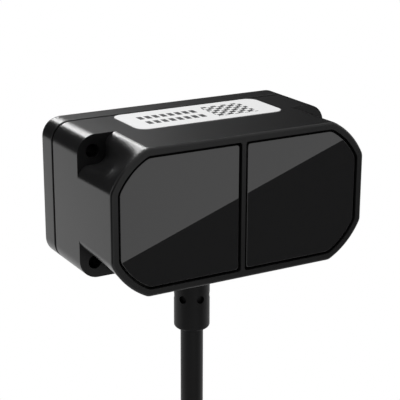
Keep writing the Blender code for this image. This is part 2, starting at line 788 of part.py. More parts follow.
def sensor_board(name, side, material):
    half_w, half_h = SENSOR_BOARD_WIDTH / 2, SENSOR_BOARD_HEIGHT / 2
    c = SENSOR_BOARD_CORNER
    quarter = [(half_w, half_h - c), (half_w - c, half_h)]
    outline = quarter + [(-x, z) for x, z in quarter[::-1]]
    outline += [(-x, -z) for x, z in outline]
    outline = [(x + side * OPTIC_X, z) for x, z in outline]
    board = prism(name, outline, SENSOR_BOARD, SENSOR_BOARD_REAR, material)
    holes = [(x, z) for x, z in post_places() if x * side > 0]
    return cut(board, rods(f"cut_{name}", holes, HOLE_RADIUS, CONE_REAR, MAIN_BOARD, 12))


def laser_diode(material):
    """A capped metal package that faces the transmit lens."""
    seat = SENSOR_BOARD - CLEARANCE
    top = seat - LASER_HEIGHT
    base = seat - LASER_BASE_HEIGHT
    profile = [
        (0, top),
        (LASER_CAP_RADIUS - LASER_CAP_ROUNDING, top),
        (LASER_CAP_RADIUS, top + LASER_CAP_ROUNDING),
        (LASER_CAP_RADIUS, base),
        (LASER_BASE_RADIUS, base),
        (LASER_BASE_RADIUS, seat),
        (0, seat),
    ]
    return turned("laser_diode", profile, at(-OPTIC_X, 0, 0), (0, 1, 0), material)


def cone_radius(depth):
    """The inner radius of a barrel's cone at a depth."""
    share = (depth - PLATE_DEPTH) / (CONE_REAR - BARREL_WALL - PLATE_DEPTH)
    wide, narrow = BORE_RADIUS - LENS_LIP, CONE_RADIUS - BARREL_WALL
    return wide + (narrow - wide) * share


def square_block(name, half, start, end, material=None, rounding=0.0):
    """A square block centred behind the receive lens."""
    return block(name, at(OPTIC_X - half, start, -half), at(OPTIC_X + half, end, half), material, rounding)


def receiver_parts(package, filter_glass, can):
    """The photodiode and its filter inside the cone, and the shield can behind the board."""
    seat = SENSOR_BOARD - CLEARANCE
    square_block("photodiode", DIODE_WIDTH / 2, seat - DIODE_HEIGHT, seat, package, CHIP_ROUNDING)
    rear = seat - FILTER_STANDOFF
    rod("bandpass_filter", at(OPTIC_X, 0, 0), (0, 1, 0), cone_radius(rear) - CLEARANCE,
        rear - FILTER_THICKNESS, rear, filter_glass)
    half, start = SHIELD_WIDTH / 2, SENSOR_BOARD_REAR + CLEARANCE
    shield = square_block("shield_can", half, start, start + SHIELD_HEIGHT, can, CHIP_ROUNDING)
    top = start + SHIELD_HEIGHT - SHIELD_SHEET
    cut(shield, square_block("cut_shield", half - SHIELD_SHEET, start - CLEARANCE, top))


def spacer(name, x, z, material):
    """A six-sided spacer whose stud goes through the sensor board into a post."""
    tip = SPACER_FRONT - BOARD_THICKNESS - SCREW_REACH
    place, axis = at(x, 0, z), (0, 1, 0)
    body = rod(name, place, axis, SPACER_RADIUS, SPACER_FRONT, SPACER_REAR, material, steps=6)
    stud_end = SPACER_FRONT + CLEARANCE
    join(body, rod(f"join_{name}", place, axis, SCREW_RADIUS, tip, stud_end, steps=SMALL_STEPS))
    hole = rod(f"cut_{name}", place, axis, HOLE_RADIUS, SPACER_FLOOR, MAIN_BOARD, steps=SMALL_STEPS)
    return cut(body, hole)


def main_board(material):
    board = prism("main_board", cavity_outline(CLEARANCE), MAIN_BOARD, MAIN_BOARD_REAR, material)
    half = BOARD_NOTCH_WIDTH / 2
    notch = block(
        "cut_board_notch",
        at(-half, MAIN_BOARD - WALL, -HALF_H),
        at(half, MAIN_BOARD_REAR + WALL, BOARD_NOTCH_TOP),
    )
    holes = rods("cut_board_holes", post_places(), HOLE_RADIUS, SPACER_REAR, PARTS_ON_BOARD, 12)
    return cut(board, notch, holes)


def chips(material):
    for name, share, rise, width, height, thickness in CHIPS:
        x, z = share * BOARD_HALF, HEADER_TOP + rise
        low = at(x - width / 2, PARTS_ON_BOARD, z - height / 2)
        high = at(x + width / 2, PARTS_ON_BOARD + thickness, z + height / 2)
        block(name, low, high, material, CHIP_ROUNDING)


def power_capacitor(material):
    can = CAPACITOR_RADIUS - CAPACITOR_STEP
    profile = [
        (0, 0),
        (CAPACITOR_RADIUS, 0),
        (CAPACITOR_RADIUS, CAPACITOR_FOOT),
        (can, CAPACITOR_FOOT + CAPACITOR_BEVEL),
        (can, CAPACITOR_HEIGHT - CAPACITOR_BEVEL),
        (can - CAPACITOR_BEVEL, CAPACITOR_HEIGHT),
        (0, CAPACITOR_HEIGHT),
    ]
    place = at(CAPACITOR_X * BOARD_HALF, PARTS_ON_BOARD, HEADER_TOP + CAPACITOR_RISE)
    return turned("power_capacitor", profile, place, (0, 1, 0), material, steps=20)


def header_and_plug(material):
    """A side-entry header on the board, and the plug pushed into it from below."""
    front, rear, half = PARTS_ON_BOARD, PARTS_ON_BOARD + HEADER_HEIGHT, HEADER_WIDTH / 2
    low, high = at(-half, front, HEADER_MOUTH), at(half, rear, HEADER_TOP)
    header = block("board_header", low, high, material, CHIP_ROUNDING)
    top = PLUG_BOTTOM + PLUG_LENGTH
    front, rear, half = front + HEADER_WALL, rear - HEADER_WALL, half - HEADER_WALL
    low, high = at(-half, front, HEADER_MOUTH - WALL), at(half, rear, top + CLEARANCE)
    cut(header, block("cut_header", low, high))
    front, rear, half = front + CLEARANCE, rear - CLEARANCE, half - CLEARANCE
    low, high = at(-half, front, PLUG_BOTTOM), at(half, rear, top)
    block("lead_plug", low, high, material, CHIP_ROUNDING)


def smooth_path(points, step):
    """Points about a step apart on a smooth curve through the given ones."""
    points = [Vector(p) for p in points]
    padded = [2 * points[0] - points[1], *points, 2 * points[-1] - points[-2]]
    path = []
    for a, b, c, d in zip(padded, padded[1:], padded[2:], padded[3:]):
        count = max(1, round((c - b).length / step))
        for k in range(count):
            t = k / count
            path.append(
                0.5 * (2 * b + (c - a) * t + (2 * a - 5 * b + 4 * c - d) * t**2
                       + (3 * b - a - 3 * c + d) * t**3)
            )
    return path + [points[-1]]


def tube(name, path, radius, resolution, material):
    data = bpy.data.curves.new(name, "CURVE")
    data.dimensions = "3D"
    data.bevel_depth = radius
    data.bevel_resolution = resolution
    data.use_fill_caps = True
    spline = data.splines.new("POLY")
    spline.points.add(len(path) - 1)
    for point, place in zip(spline.points, path):
        point.co = (*place, 1)
    made = bpy.data.objects.new(name, data)
    bpy.context.scene.collection.objects.link(made)
    data.materials.append(material)
    return made


def lead_wires(colours):
    """Four wires from the cable's inner end, behind the board's notch and up into the plug."""
    start = CABLE_START + CLEARANCE
    across = PARTS_ON_BOARD + WIRE_DEPTH
    crest = start + 1.5 * WIRE_BEND
    for k, (word, material) in enumerate(colours):
        x = (k - (len(colours) - 1) / 2) * WIRE_PITCH
        route = [
            at(x, RELIEF_DEPTH, start),
            at(x, RELIEF_DEPTH + WIRE_BEND / 2, start + WIRE_BEND),
            at(x, RELIEF_DEPTH + 2 * WIRE_BEND, crest),
            at(x, across - WIRE_BEND, crest),
            at(x, across, PLUG_BOTTOM - 4 * CLEARANCE),
            at(x, across, PLUG_BOTTOM - CLEARANCE),
        ]
        tube(f"wire_{word}", smooth_path(route, 3 * WIRE_RADIUS), WIRE_RADIUS, 2, material)


def cable_relief(material):
    """The moulded boot, snapped into the wall, with a ring of dimples."""
    end = RELIEF_END
    soft = RELIEF_ROUNDING * (1 - math.sqrt(0.5))
    bore = CABLE_RADIUS + CLEARANCE
    profile = [
        (bore, FLANGE_TOP),
        (RELIEF_FLANGE_RADIUS, FLANGE_TOP),
        (RELIEF_FLANGE_RADIUS, CAVITY_FLOOR + CLEARANCE),
        (NECK_RADIUS, CAVITY_FLOOR + CLEARANCE),
        (NECK_RADIUS, RELIEF_TOP),
        (RELIEF_RADIUS, RELIEF_TOP),
        (RELIEF_RADIUS, end + RELIEF_ROUNDING),
        (RELIEF_RADIUS - soft, end + soft),
        (RELIEF_RADIUS - RELIEF_ROUNDING, end),
        (bore, end),
    ]
    boot = turned("cable_relief", profile, (0, RELIEF_Y, 0), (0, 0, 1), material, closed=True)
    centre = (0, RELIEF_Y, RELIEF_TOP - DIMPLE_DROP)
    for k in range(DIMPLE_COUNT):
        angle = 2 * math.pi * k / DIMPLE_COUNT
        outward = (math.sin(angle), -math.cos(angle), 0)
        floor = RELIEF_RADIUS - DIMPLE_DEPTH
        cut(boot, rod(f"cut_dimple_{k}", centre, outward, DIMPLE_RADIUS, floor, RELIEF_RADIUS + WALL,
                      steps=SMALL_STEPS))
    return boot


def loop_point(angle):
    """Half of a folded turn: a narrow-waisted loop, wide at its ends, in X and Z."""
    reach2, waist2 = LOOP_REACH**2, WAIST_HALF**2
    half2, span2 = (reach2 - waist2) / 2, (reach2 + waist2) / 2
    s = math.sin(2 * angle) * half2
    radius = math.sqrt(-half2 * math.cos(2 * angle) + math.sqrt(span2**2 - s**2))
    return radius * math.cos(angle), radius * math.sin(angle)


def hank_outline(gap):
    """The outline of the folded cable, one cable radius outside its outermost turns."""
    step = 2 * math.pi / HANK_STEPS
    grow = CABLE_RADIUS + gap
    outline = []
    for k in range(HANK_STEPS):
        x, z = loop_point(k * step)
        ahead, back = loop_point((k + 0.1) * step), loop_point((k - 0.1) * step)
        along = (Vector(ahead) - Vector(back)).normalized()
        outline.append((x + along.y * grow, HANK_MIDDLE + z - along.x * grow))
    return outline


def cable_pieces(jacket, strap, plastic, metal):
    """The cable as it hangs: straight out of the boot, then folded and tied."""
    drop = [
        (0, RELIEF_Y, CABLE_START),
        (0, RELIEF_Y, RELIEF_END),
        (0, RELIEF_Y, (RELIEF_END + HANK_TOP) / 2),
        (0, RELIEF_Y, HANK_TOP + CLEARANCE),
    ]
    tube("cable", smooth_path(drop, 2.5 * CABLE_DIAMETER), CABLE_RADIUS, 3, jacket)
    place, bore = (0, RELIEF_Y, FERRULE_BOTTOM), CABLE_RADIUS + CLEARANCE
    ring("cable_ferrule", place, (0, 0, 1), bore + FERRULE_WALL, bore, 0, FERRULE_HEIGHT, metal)
    prism("cable_hank", hank_outline(0), HANK_FRONT, HANK_REAR, jacket)
    tie(strap)
    plug(jacket, plastic, metal)


def tie_loop(half, gap, radius):
    """A rounded outline round the folded cable, a gap outside its front and rear."""
    front, rear = HANK_FRONT - gap, HANK_REAR + gap
    return rounded_loop([(-half, front), (half, front), (half, rear), (-half, rear)], radius)


def tie(material):
    """A strap round the waist of the folded cable."""
    waist = max(abs(x) for x, z in hank_outline(0) if abs(z - HANK_MIDDLE) < TIE_HEIGHT)
    outer = tie_loop(waist + CLEARANCE + TIE_THICKNESS, CLEARANCE + TIE_THICKNESS, 2 * TIE_THICKNESS)
    inner = tie_loop(waist + CLEARANCE, CLEARANCE, TIE_THICKNESS)
    low, high = HANK_MIDDLE - TIE_HEIGHT / 2, HANK_MIDDLE + TIE_HEIGHT / 2
    strap = upright_prism("cable_tie", outer, low, high, material)
    return cut(strap, upright_prism("cut_tie", inner, low - WALL, high + WALL))


def plug(jacket, plastic, metal):
    """The far end: a moulded grip, a coupling nut and a contact insert, on a short tail."""
    top = HANK_MIDDLE - HANK_REACH - CLEARANCE
    tail = [(0, TAIL_Y, top - TAIL_LENGTH * share) for share in (0, 0.5, 1)]
    tube("cable_tail", smooth_path(tail, 2.5 * CABLE_DIAMETER), CABLE_RADIUS, 3, jacket)
    grip = [
        (0, 0),
        (GRIP_WAIST_RADIUS, 0),
        (GRIP_WAIST_RADIUS, GRIP_TAPER - GRIP_SHOULDER),
        (GRIP_RADIUS, -GRIP_SHOULDER),
        (GRIP_RADIUS, -GRIP_LENGTH),
        (0, -GRIP_LENGTH),
    ]
    grip_top = top - TAIL_LENGTH - CLEARANCE
    turned("plug_grip", grip, (0, TAIL_Y, grip_top), (0, 0, 1), plastic)
    place, bore = (0, TAIL_Y, grip_top - GRIP_LENGTH - CLEARANCE), INSERT_RADIUS + CLEARANCE
    ring("plug_nut", place, (0, 0, 1), NUT_RADIUS, bore, -NUT_LENGTH, 0, metal)
    rod("plug_insert", place, (0, 0, 1), INSERT_RADIUS, -INSERT_LENGTH, 0, plastic)


def build():
    clear_scene()
    shell = finish("matte black housing", (0.028, 0.028, 0.029), 0.5)
    glass = finish("glossy black window", (0.008, 0.008, 0.009), 0.06)
    rubber = finish("soft black rubber", (0.02, 0.02, 0.021), 0.6)
    adhesive = finish("adhesive foam", (0.03, 0.03, 0.03), 0.9)
    clear = finish("lens glass", (0.75, 0.8, 0.82), 0.03)
    coated = finish("filter glass", (0.35, 0.06, 0.08), 0.05)
    frame = finish("moulded optics black", (0.02, 0.02, 0.02), 0.65)
    laminate = finish("green circuit board", (0.01, 0.11, 0.045), 0.4)
    steel = finish("plated steel", (0.55, 0.55, 0.56), 0.3, 1.0)
    brass = finish("brass", (0.72, 0.52, 0.2), 0.3, 1.0)
    package = finish("chip package", (0.025, 0.025, 0.028), 0.45)
    pale = finish("pale connector plastic", (0.75, 0.73, 0.66), 0.45)
    paper = finish("white label film", (0.85, 0.85, 0.85), 0.4)

    front_housing(shell)
    rear_cover(shell)
    cover_seal(rubber)
    windows(glass, adhesive)
    optics_frame(frame)
    for side, word in ((-1, "transmit"), (1, "receive")):
        lens(f"{word}_lens", side, clear)
        lens_ring(f"{word}_lens_ring", side, frame)
    sensor_board("laser_board", -1, laminate)
    sensor_board("receiver_board", 1, laminate)
    laser_diode(steel)
    receiver_parts(package, coated, steel)
    main_board(laminate)
    chips(package)
    power_capacitor(steel)
    header_and_plug(pale)
    pan_screws(steel)
    for k, (x, z) in enumerate(post_places()):
        spacer(f"board_spacer_{k + 1}", x, z, brass)
    for k, (x, z) in enumerate(cover_screw_places()):
        cover_screw(f"cover_screw_{k + 1}", x, z, steel)
    cable_relief(rubber)
    lead_wires([(word, finish(f"{word} wire", colour, 0.4)) for word, colour in WIRE_COLOURS])
    label_low = HALF_H + LABEL_PROUD - LABEL_THICKNESS
    upright_prism("top_label", label_outline(0), label_low, HALF_H + LABEL_PROUD, paper)
    cable_pieces(rubber, package, package, steel)


build()
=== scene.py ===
# %% [markdown]
# # A lidar distance sensor
# The real object is a small black box with two glossy windows. A laser behind the left window
# sends out pulses, and a photodiode behind the right one times their echoes. We load the CAD
# model first, because every piece below is placed by its numbers.

# %% Load the frame
import json
import math

import bmesh
import bpy
from mathutils import Matrix, Vector

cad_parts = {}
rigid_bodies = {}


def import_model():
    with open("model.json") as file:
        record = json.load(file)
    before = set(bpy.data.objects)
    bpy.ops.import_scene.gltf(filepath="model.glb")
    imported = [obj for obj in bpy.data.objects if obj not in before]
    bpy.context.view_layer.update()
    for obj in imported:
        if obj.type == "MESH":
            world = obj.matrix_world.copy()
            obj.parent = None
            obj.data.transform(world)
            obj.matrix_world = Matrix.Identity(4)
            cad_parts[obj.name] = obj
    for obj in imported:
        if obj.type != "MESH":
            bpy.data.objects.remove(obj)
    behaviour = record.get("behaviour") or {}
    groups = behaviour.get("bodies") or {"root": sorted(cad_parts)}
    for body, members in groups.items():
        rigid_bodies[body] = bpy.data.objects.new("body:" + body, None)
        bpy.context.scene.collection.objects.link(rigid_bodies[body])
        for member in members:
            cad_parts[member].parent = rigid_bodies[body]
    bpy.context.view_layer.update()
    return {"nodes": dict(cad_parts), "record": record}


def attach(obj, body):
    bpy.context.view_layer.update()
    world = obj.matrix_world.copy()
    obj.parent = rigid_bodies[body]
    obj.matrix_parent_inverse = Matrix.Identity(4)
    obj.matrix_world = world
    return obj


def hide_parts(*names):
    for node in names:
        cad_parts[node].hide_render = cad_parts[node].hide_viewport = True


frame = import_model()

MM = 0.001
print("CAD nodes:", len(frame["nodes"]))

# %% [markdown]
# ## The camera
# A long lens close to the object gives the photograph's mild perspective. Its turn is written as
# three angles: round the vertical, down from the horizon, and a touch of roll.

# %% Camera
FOCAL_LENGTH = 112.92
CAMERA_PLACE = (-0.14993, -0.28001, 0.09118)
TURN_ANGLE, DOWN_ANGLE, ROLL_ANGLE = math.radians(-29.805), math.radians(17.479), math.radians(0.155)
lens = bpy.data.cameras.new("camera")
lens.lens = FOCAL_LENGTH
lens.sensor_width = 36
lens.clip_start = 0.01
camera = bpy.data.objects.new("camera", lens)
bpy.context.scene.collection.objects.link(camera)
turn = Matrix.Rotation(TURN_ANGLE, 4, "Z")
tilt = Matrix.Rotation(math.pi / 2 - DOWN_ANGLE, 4, "X")
roll = Matrix.Rotation(ROLL_ANGLE, 4, "Z")
camera.matrix_world = Matrix.Translation(CAMERA_PLACE) @ turn @ tilt @ roll
bpy.context.scene.camera = camera
print("camera at", [round(c, 3) for c in camera.location])

# %% [markdown]
# ## Shared shader effects
# Moulded plastic is never perfectly even. A spark-eroded mould leaves a fine grain, and handling
# leaves slow changes in sheen. Both come from noise on Object coordinates, so they stay fixed to
# the surface. They are built once as a node group, with its strengths as inputs.

# %% The grain group
SLOW_NOISE_SCALE = 60
GRAIN_HEIGHT = 0.04 * MM


def math_node(nodes, links, operation, *values):
    """One Math node, fed with sockets or with plain numbers."""
    made = nodes.new("ShaderNodeMath")
    made.operation = operation
    for socket, value in zip(made.inputs, values):
        if isinstance(value, bpy.types.NodeSocket):
            links.new(value, socket)
        else:
            socket.default_value = value
    return made.outputs[0]


def grain_group():
    """Grain and mottle as a group: colour, roughness and normal that change over the surface."""
    group = bpy.data.node_groups.new("moulded grain", "ShaderNodeTree")
    for name, default in (("Size", 0.0004), ("Roughness", 0.5), ("Mottle", 0.05), ("Depth", 0.2)):
        socket = group.interface.new_socket(name, in_out="INPUT", socket_type="NodeSocketFloat")
        socket.default_value = default
    colour = group.interface.new_socket("Colour", in_out="INPUT", socket_type="NodeSocketColor")
    colour.default_value = (0.03, 0.03, 0.03, 1)
    group.interface.new_socket("Colour", in_out="OUTPUT", socket_type="NodeSocketColor")
    group.interface.new_socket("Roughness", in_out="OUTPUT", socket_type="NodeSocketFloat")
    group.interface.new_socket("Normal", in_out="OUTPUT", socket_type="NodeSocketVector")
    nodes, links = group.nodes, group.links
    inside, outside = nodes.new("NodeGroupInput"), nodes.new("NodeGroupOutput")
    place = nodes.new("ShaderNodeTexCoord")
    fine, slow = nodes.new("ShaderNodeTexNoise"), nodes.new("ShaderNodeTexNoise")
    for noise in (fine, slow):
        links.new(place.outputs["Object"], noise.inputs["Vector"])
    links.new(math_node(nodes, links, "DIVIDE", 1, inside.outputs["Size"]), fine.inputs["Scale"])
    fine.inputs["Detail"].default_value = 3
    slow.inputs["Scale"].default_value = SLOW_NOISE_SCALE
    slow.inputs["Detail"].default_value = 2
    bump = nodes.new("ShaderNodeBump")
    bump.inputs["Distance"].default_value = GRAIN_HEIGHT
    links.new(inside.outputs["Depth"], bump.inputs["Strength"])
    links.new(fine.outputs["Fac"], bump.inputs["Height"])
    links.new(bump.outputs["Normal"], outside.inputs["Normal"])
    centred = math_node(nodes, links, "SUBTRACT", slow.outputs["Fac"], 0.5)
    mottle = inside.outputs["Mottle"]
    sheen = math_node(nodes, links, "MULTIPLY_ADD", centred, mottle, inside.outputs["Roughness"])
    links.new(sheen, outside.inputs["Roughness"])
    shade = nodes.new("ShaderNodeVectorMath")
    shade.operation = "SCALE"
    links.new(inside.outputs["Colour"], shade.inputs[0])
    links.new(math_node(nodes, links, "MULTIPLY_ADD", centred, mottle, 1), shade.inputs["Scale"])
    links.new(shade.outputs[0], outside.inputs["Colour"])
    return group


GRAIN = grain_group()
print("group inputs:", [s.name for s in GRAIN.interface.items_tree if s.in_out == "INPUT"])

# %% A finish from the group
def finish(name, colour, roughness, metallic=0.0, size=0.0004, mottle=0.1, depth=0.2, **sockets):
    """A Principled material whose colour, sheen and bump come from the grain group."""
    made = bpy.data.materials.new(name)
    made.use_nodes = True
    nodes, links = made.node_tree.nodes, made.node_tree.links
    shader = nodes["Principled BSDF"]
    grain = nodes.new("ShaderNodeGroup")
    grain.node_tree = GRAIN
    grain.inputs["Colour"].default_value = (*colour, 1)
    grain.inputs["Roughness"].default_value = roughness
    grain.inputs["Size"].default_value = size
    grain.inputs["Mottle"].default_value = mottle
    grain.inputs["Depth"].default_value = depth
    links.new(grain.outputs["Colour"], shader.inputs["Base Color"])
    links.new(grain.outputs["Roughness"], shader.inputs["Roughness"])
    links.new(grain.outputs["Normal"], shader.inputs["Normal"])
    shader.inputs["Metallic"].default_value = metallic
    for socket, value in sockets.items():
        shader.inputs[socket.replace("_", " ")].default_value = value
    return made


print("each finish feeds", [s.name for s in GRAIN.interface.items_tree if s.in_out == "OUTPUT"])

# %% [markdown]
# ## Finishes for every slot
# The record names one finish for each group of nodes. The housing is satin black, the windows are
# polished, and the cable's jacket is soft rubber. The parts inside are rarely seen, but they get
# the finish of the real ones too.

# %% Materials by slot
FINISHES = {
    "housing": finish(
        "housing black", (0.009, 0.009, 0.0093), 0.29, mottle=0.03, depth=0.12,
        Specular_IOR_Level=0.27,
    ),
    "window": finish("window black", (0.026, 0.026, 0.0266), 0.004, mottle=0.0, depth=0, IOR=1.6),
    "seal": finish("seal rubber", (0.02, 0.02, 0.021), 0.6),
    "adhesive": finish("adhesive foam", (0.01, 0.01, 0.01), 0.9, size=0.0002, depth=0.6),
    "optics_plastic": finish("optics black", (0.02, 0.02, 0.02), 0.65),
    "circuit_board": finish("solder mask green", (0.01, 0.11, 0.045), 0.35, mottle=0.2),
    "steel": finish("plated steel", (0.55, 0.55, 0.56), 0.3, 1.0, size=0.0002, depth=0.1),
    "brass": finish("turned brass", (0.72, 0.52, 0.2), 0.3, 1.0, size=0.0002, depth=0.1),
    "chip_package": finish("chip black", (0.025, 0.025, 0.028), 0.5),
    "connector_plastic": finish("connector cream", (0.75, 0.73, 0.66), 0.45),
    "wire_red": finish("red insulation", (0.5, 0.02, 0.02), 0.35),
    "wire_black": finish("black insulation", (0.02, 0.02, 0.02), 0.35),
    "wire_green": finish("green insulation", (0.02, 0.25, 0.06), 0.35),
    "wire_white": finish("white insulation", (0.7, 0.7, 0.7), 0.35),
    "label_film": finish(
        "label film", (0.87, 0.87, 0.87), 0.45, mottle=0.03, depth=0.05, Specular_IOR_Level=0.2,
    ),
    "cable_rubber": finish(
        "jacket rubber", (0.008, 0.008, 0.0083), 0.4, size=0.0006, depth=0.2,
        Specular_IOR_Level=0.12,
    ),
    "moulded_black": finish("moulded black", (0.025, 0.025, 0.027), 0.45),
}
for slot, alpha_colour in (("lens_glass", (0.75, 0.8, 0.82)), ("filter_glass", (0.35, 0.06, 0.08))):
    FINISHES[slot] = finish(slot, alpha_colour, 0.03, mottle=0.0, depth=0, Transmission_Weight=1.0)
SLOT_OF = {entry["node"]: entry["material_slot"] for entry in frame["record"]["subparts"]}
for node, piece in frame["nodes"].items():
    piece.data.materials.clear()
    piece.data.materials.append(FINISHES[SLOT_OF[node]])
print("finishes:", len(FINISHES), "on", len(SLOT_OF), "nodes")

# %% [markdown]
# ## Sizes of the body
# The pieces below are the visible parts again, with finer curves than the CAD needs. They use the
# CAD's own sizes, in metres, and count every depth from the front face towards the rear.

# %% Sizes
HALF_W, HALF_H, DEPTH = 34.8 * MM, 17.85 * MM, 39.1 * MM
FRONT = -DEPTH
WALL, GAP = 2.2 * MM, 0.3 * MM
FLANGE, HOUSING_REAR, PARTING, LIP_TIP = 17.8 * MM, 32.0 * MM, 32.85 * MM, 29.7 * MM
CORNER, NOTCH_LEG, NOTCH_RADIUS, BLEND = 4.8 * MM, 9.3 * MM, 19.5 * MM, 2.6 * MM
POCKET, POCKET_FLARE, POCKET_RADIUS = 7.3 * MM, 1.8 * MM, 2.4 * MM
FRONT_ROUNDING, REAR_ROUNDING, EDGE = 0.6 * MM, 0.9 * MM, 0.2 * MM
BEZEL, GROOVE, DIVIDER, LEDGE = 1.75 * MM, 0.62 * MM, 1.1 * MM, 2.2 * MM
POCKET_FLOOR, FRONT_WALL = 2.85 * MM, 4.45 * MM
HOLLOW_ROUNDING, PANE_CORNER = 1.5 * MM, 0.7 * MM
MOUNT_RADIUS, SCREW_RADIUS = 1.7 * MM, 1.1 * MM
CORNER_POINTS = 49
print("body, mm:", round(2 * HALF_W / MM, 1), round(2 * HALF_H / MM, 1), round(DEPTH / MM, 1))

# %% [markdown]
# ## Outlines as paths
# Every face of the body follows from a few outlines in X and Z: the bowed corner, the square
# pocket, the plain round corner. A mould maker draws them as straight lines with filleted corners,
# and so do we. Resampling each corner to the same number of points lets one outline flow into the
# next.

# %% Outline helpers
STRAIGHT = math.radians(89)


def at(x, depth, z):
    """A place by its depth behind the front face."""
    return Vector((x, FRONT + depth, z))


def bend(points, radii, steps=8):
    """An open path whose inner corners are rounded, each by its own radius."""
    path = [Vector(points[0])]
    for before, corner, after, radius in zip(points, points[1:], points[2:], radii):
        corner = Vector(corner)
        back = (Vector(before) - corner).normalized()
        ahead = (Vector(after) - corner).normalized()
        half = math.acos(max(-1.0, min(1.0, back.dot(ahead)))) / 2
        if radius <= 0 or half > STRAIGHT:
            path.append(corner)
            continue
        reach = radius / math.tan(half)
        centre = corner + (back + ahead).normalized() * radius / math.sin(half)
        start = corner + back * reach - centre
        swing = start.angle_signed(corner + ahead * reach - centre)
        path += [centre + Matrix.Rotation(-swing * k / steps, 2) @ start for k in range(steps + 1)]
    return path + [Vector(points[-1])]


def even(path, count=CORNER_POINTS):
    """The same path as evenly spaced points."""
    lengths = [0.0]
    for a, b in zip(path, path[1:]):
        lengths.append(lengths[-1] + (b - a).length)
    found, k = [], 0
    for n in range(count):
        along = lengths[-1] * n / (count - 1)
        while k < len(path) - 2 and lengths[k + 1] < along:
            k += 1
        share = (along - lengths[k]) / max(lengths[k + 1] - lengths[k], 1e-9)
        found.append(path[k].lerp(path[k + 1], share))
    return found


def around(corner):
    """A closed outline in X and Z from one corner's distances to the side and the top."""
    outline = []
    for sx, sz in ((1, 1), (-1, 1), (-1, -1), (1, -1)):
        points = corner if sx * sz > 0 else corner[::-1]
        outline += [(sx * (HALF_W - u), sz * (HALF_H - v)) for u, v in points]
    return outline


print("a rounded path has", len(bend([(0, 1), (0, 0), (1, 0)], [0.5])), "points")

# %% [markdown]
# ## Solids from outlines
# The mesh could be drawn by hand, vertex by vertex, but a loop of edges that is extruded through
# the outlines makes the same walls with far less to go wrong. Holes and hollows are cut by exact
# Booleans, because the real ones are also plain cores and pins that the mould pulls out. Weighted
# normals then keep the large faces flat beside the small roundings.

# %% Mesh helpers
SHARP_ANGLE = math.radians(32)


def swept(sections):
    """A closed solid: one loop of edges, extruded through outlines of equal length."""
    bm = bmesh.new()
    depth, outline = sections[0]
    ring = [bm.verts.new(at(x, depth, z)) for x, z in outline]
    edges = [bm.edges.new(pair) for pair in zip(ring, ring[1:] + ring[:1])]
    bmesh.ops.contextual_create(bm, geom=edges)
    for depth, outline in sections[1:]:
        grown = bmesh.ops.extrude_edge_only(bm, edges=edges)["geom"]
        fresh = {v for v in grown if isinstance(v, bmesh.types.BMVert)}
        ring = [next(e.other_vert(v) for e in v.link_edges if e.other_vert(v) in fresh) for v in ring]
        for v, (x, z) in zip(ring, outline):
            v.co = at(x, depth, z)
        edges = [e for e in grown if isinstance(e, bmesh.types.BMEdge) and fresh.issuperset(e.verts)]
    bmesh.ops.contextual_create(bm, geom=edges)
    return bm


def cylinder(bm, place, axis, radius, length, top=None, segments=32):
    """A cylinder or cone from a place along an axis, added to a mesh."""
    turn = Vector((0, 0, 1)).rotation_difference(Vector(axis)).to_matrix().to_4x4()
    bmesh.ops.create_cone(
        bm,
        cap_ends=True,
        segments=segments,
        radius1=radius,
        radius2=radius if top is None else top,
        depth=length,
        matrix=Matrix.Translation(place) @ turn @ Matrix.Translation((0, 0, length / 2)),
    )
    return bm


def as_object(name, bm):
    """The mesh as an object in the scene."""
    mesh = bpy.data.meshes.new(name)
    bm.to_mesh(mesh)
    bm.free()
    made = bpy.data.objects.new(name, mesh)
    bpy.context.scene.collection.objects.link(made)
    return made


def linked(name, bm):
    """A closed mesh as an object, with its doubles merged and its faces pointing out."""
    bmesh.ops.remove_doubles(bm, verts=bm.verts, dist=1e-7)
    bmesh.ops.recalc_face_normals(bm, faces=bm.faces)
    return as_object(name, bm)


def carved(bm, *tools, operation="DIFFERENCE"):
    """The solid less its tools, one exact Boolean for each, with nothing left behind."""
    body = linked("carving", bm)
    helpers = [linked("tool", tool) for tool in tools]
    for helper in helpers:
        step = body.modifiers.new("step", "BOOLEAN")
        step.operation = operation
        step.solver = "EXACT"
        step.object = helper
    made = bmesh.new()
    made.from_object(body, bpy.context.evaluated_depsgraph_get())
    for passing in (body, *helpers):
        mesh = passing.data
        bpy.data.objects.remove(passing)
        bpy.data.meshes.remove(mesh)
    return made


def new_piece(name, bm, slot, *replaced):
    """A finished piece in place of CAD nodes: smooth, with sharp edges kept, and the finish of its
    slot.
    """
    made = linked(name, bm)
    made.data.shade_smooth()
    made.data.set_sharp_from_angle(angle=SHARP_ANGLE)
    made.modifiers.new("even shading", "WEIGHTED_NORMAL").keep_sharp = True
    made.data.materials.append(FINISHES[slot])
    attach(made, "root")
    if replaced:
        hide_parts(*replaced)
    print(name, "-", len(made.data.polygons), "faces")
    return made


print("edges sharper than", round(math.degrees(SHARP_ANGLE)), "degrees stay crisp")

# %% [markdown]
# ## The front housing
# The housing is one injection-moulded shell. Its front is an octagon with bowed corners, and
# behind each corner the notch deepens into a square pocket that leaves room for a screw head.
# A flange with plain round corners carries the screw holes. One loop of edges grown through a
# row of outlines gives these flowing faces, and Booleans then cut the hollow and the holes.

# %% Corner outlines
BOW_STEPS = 24


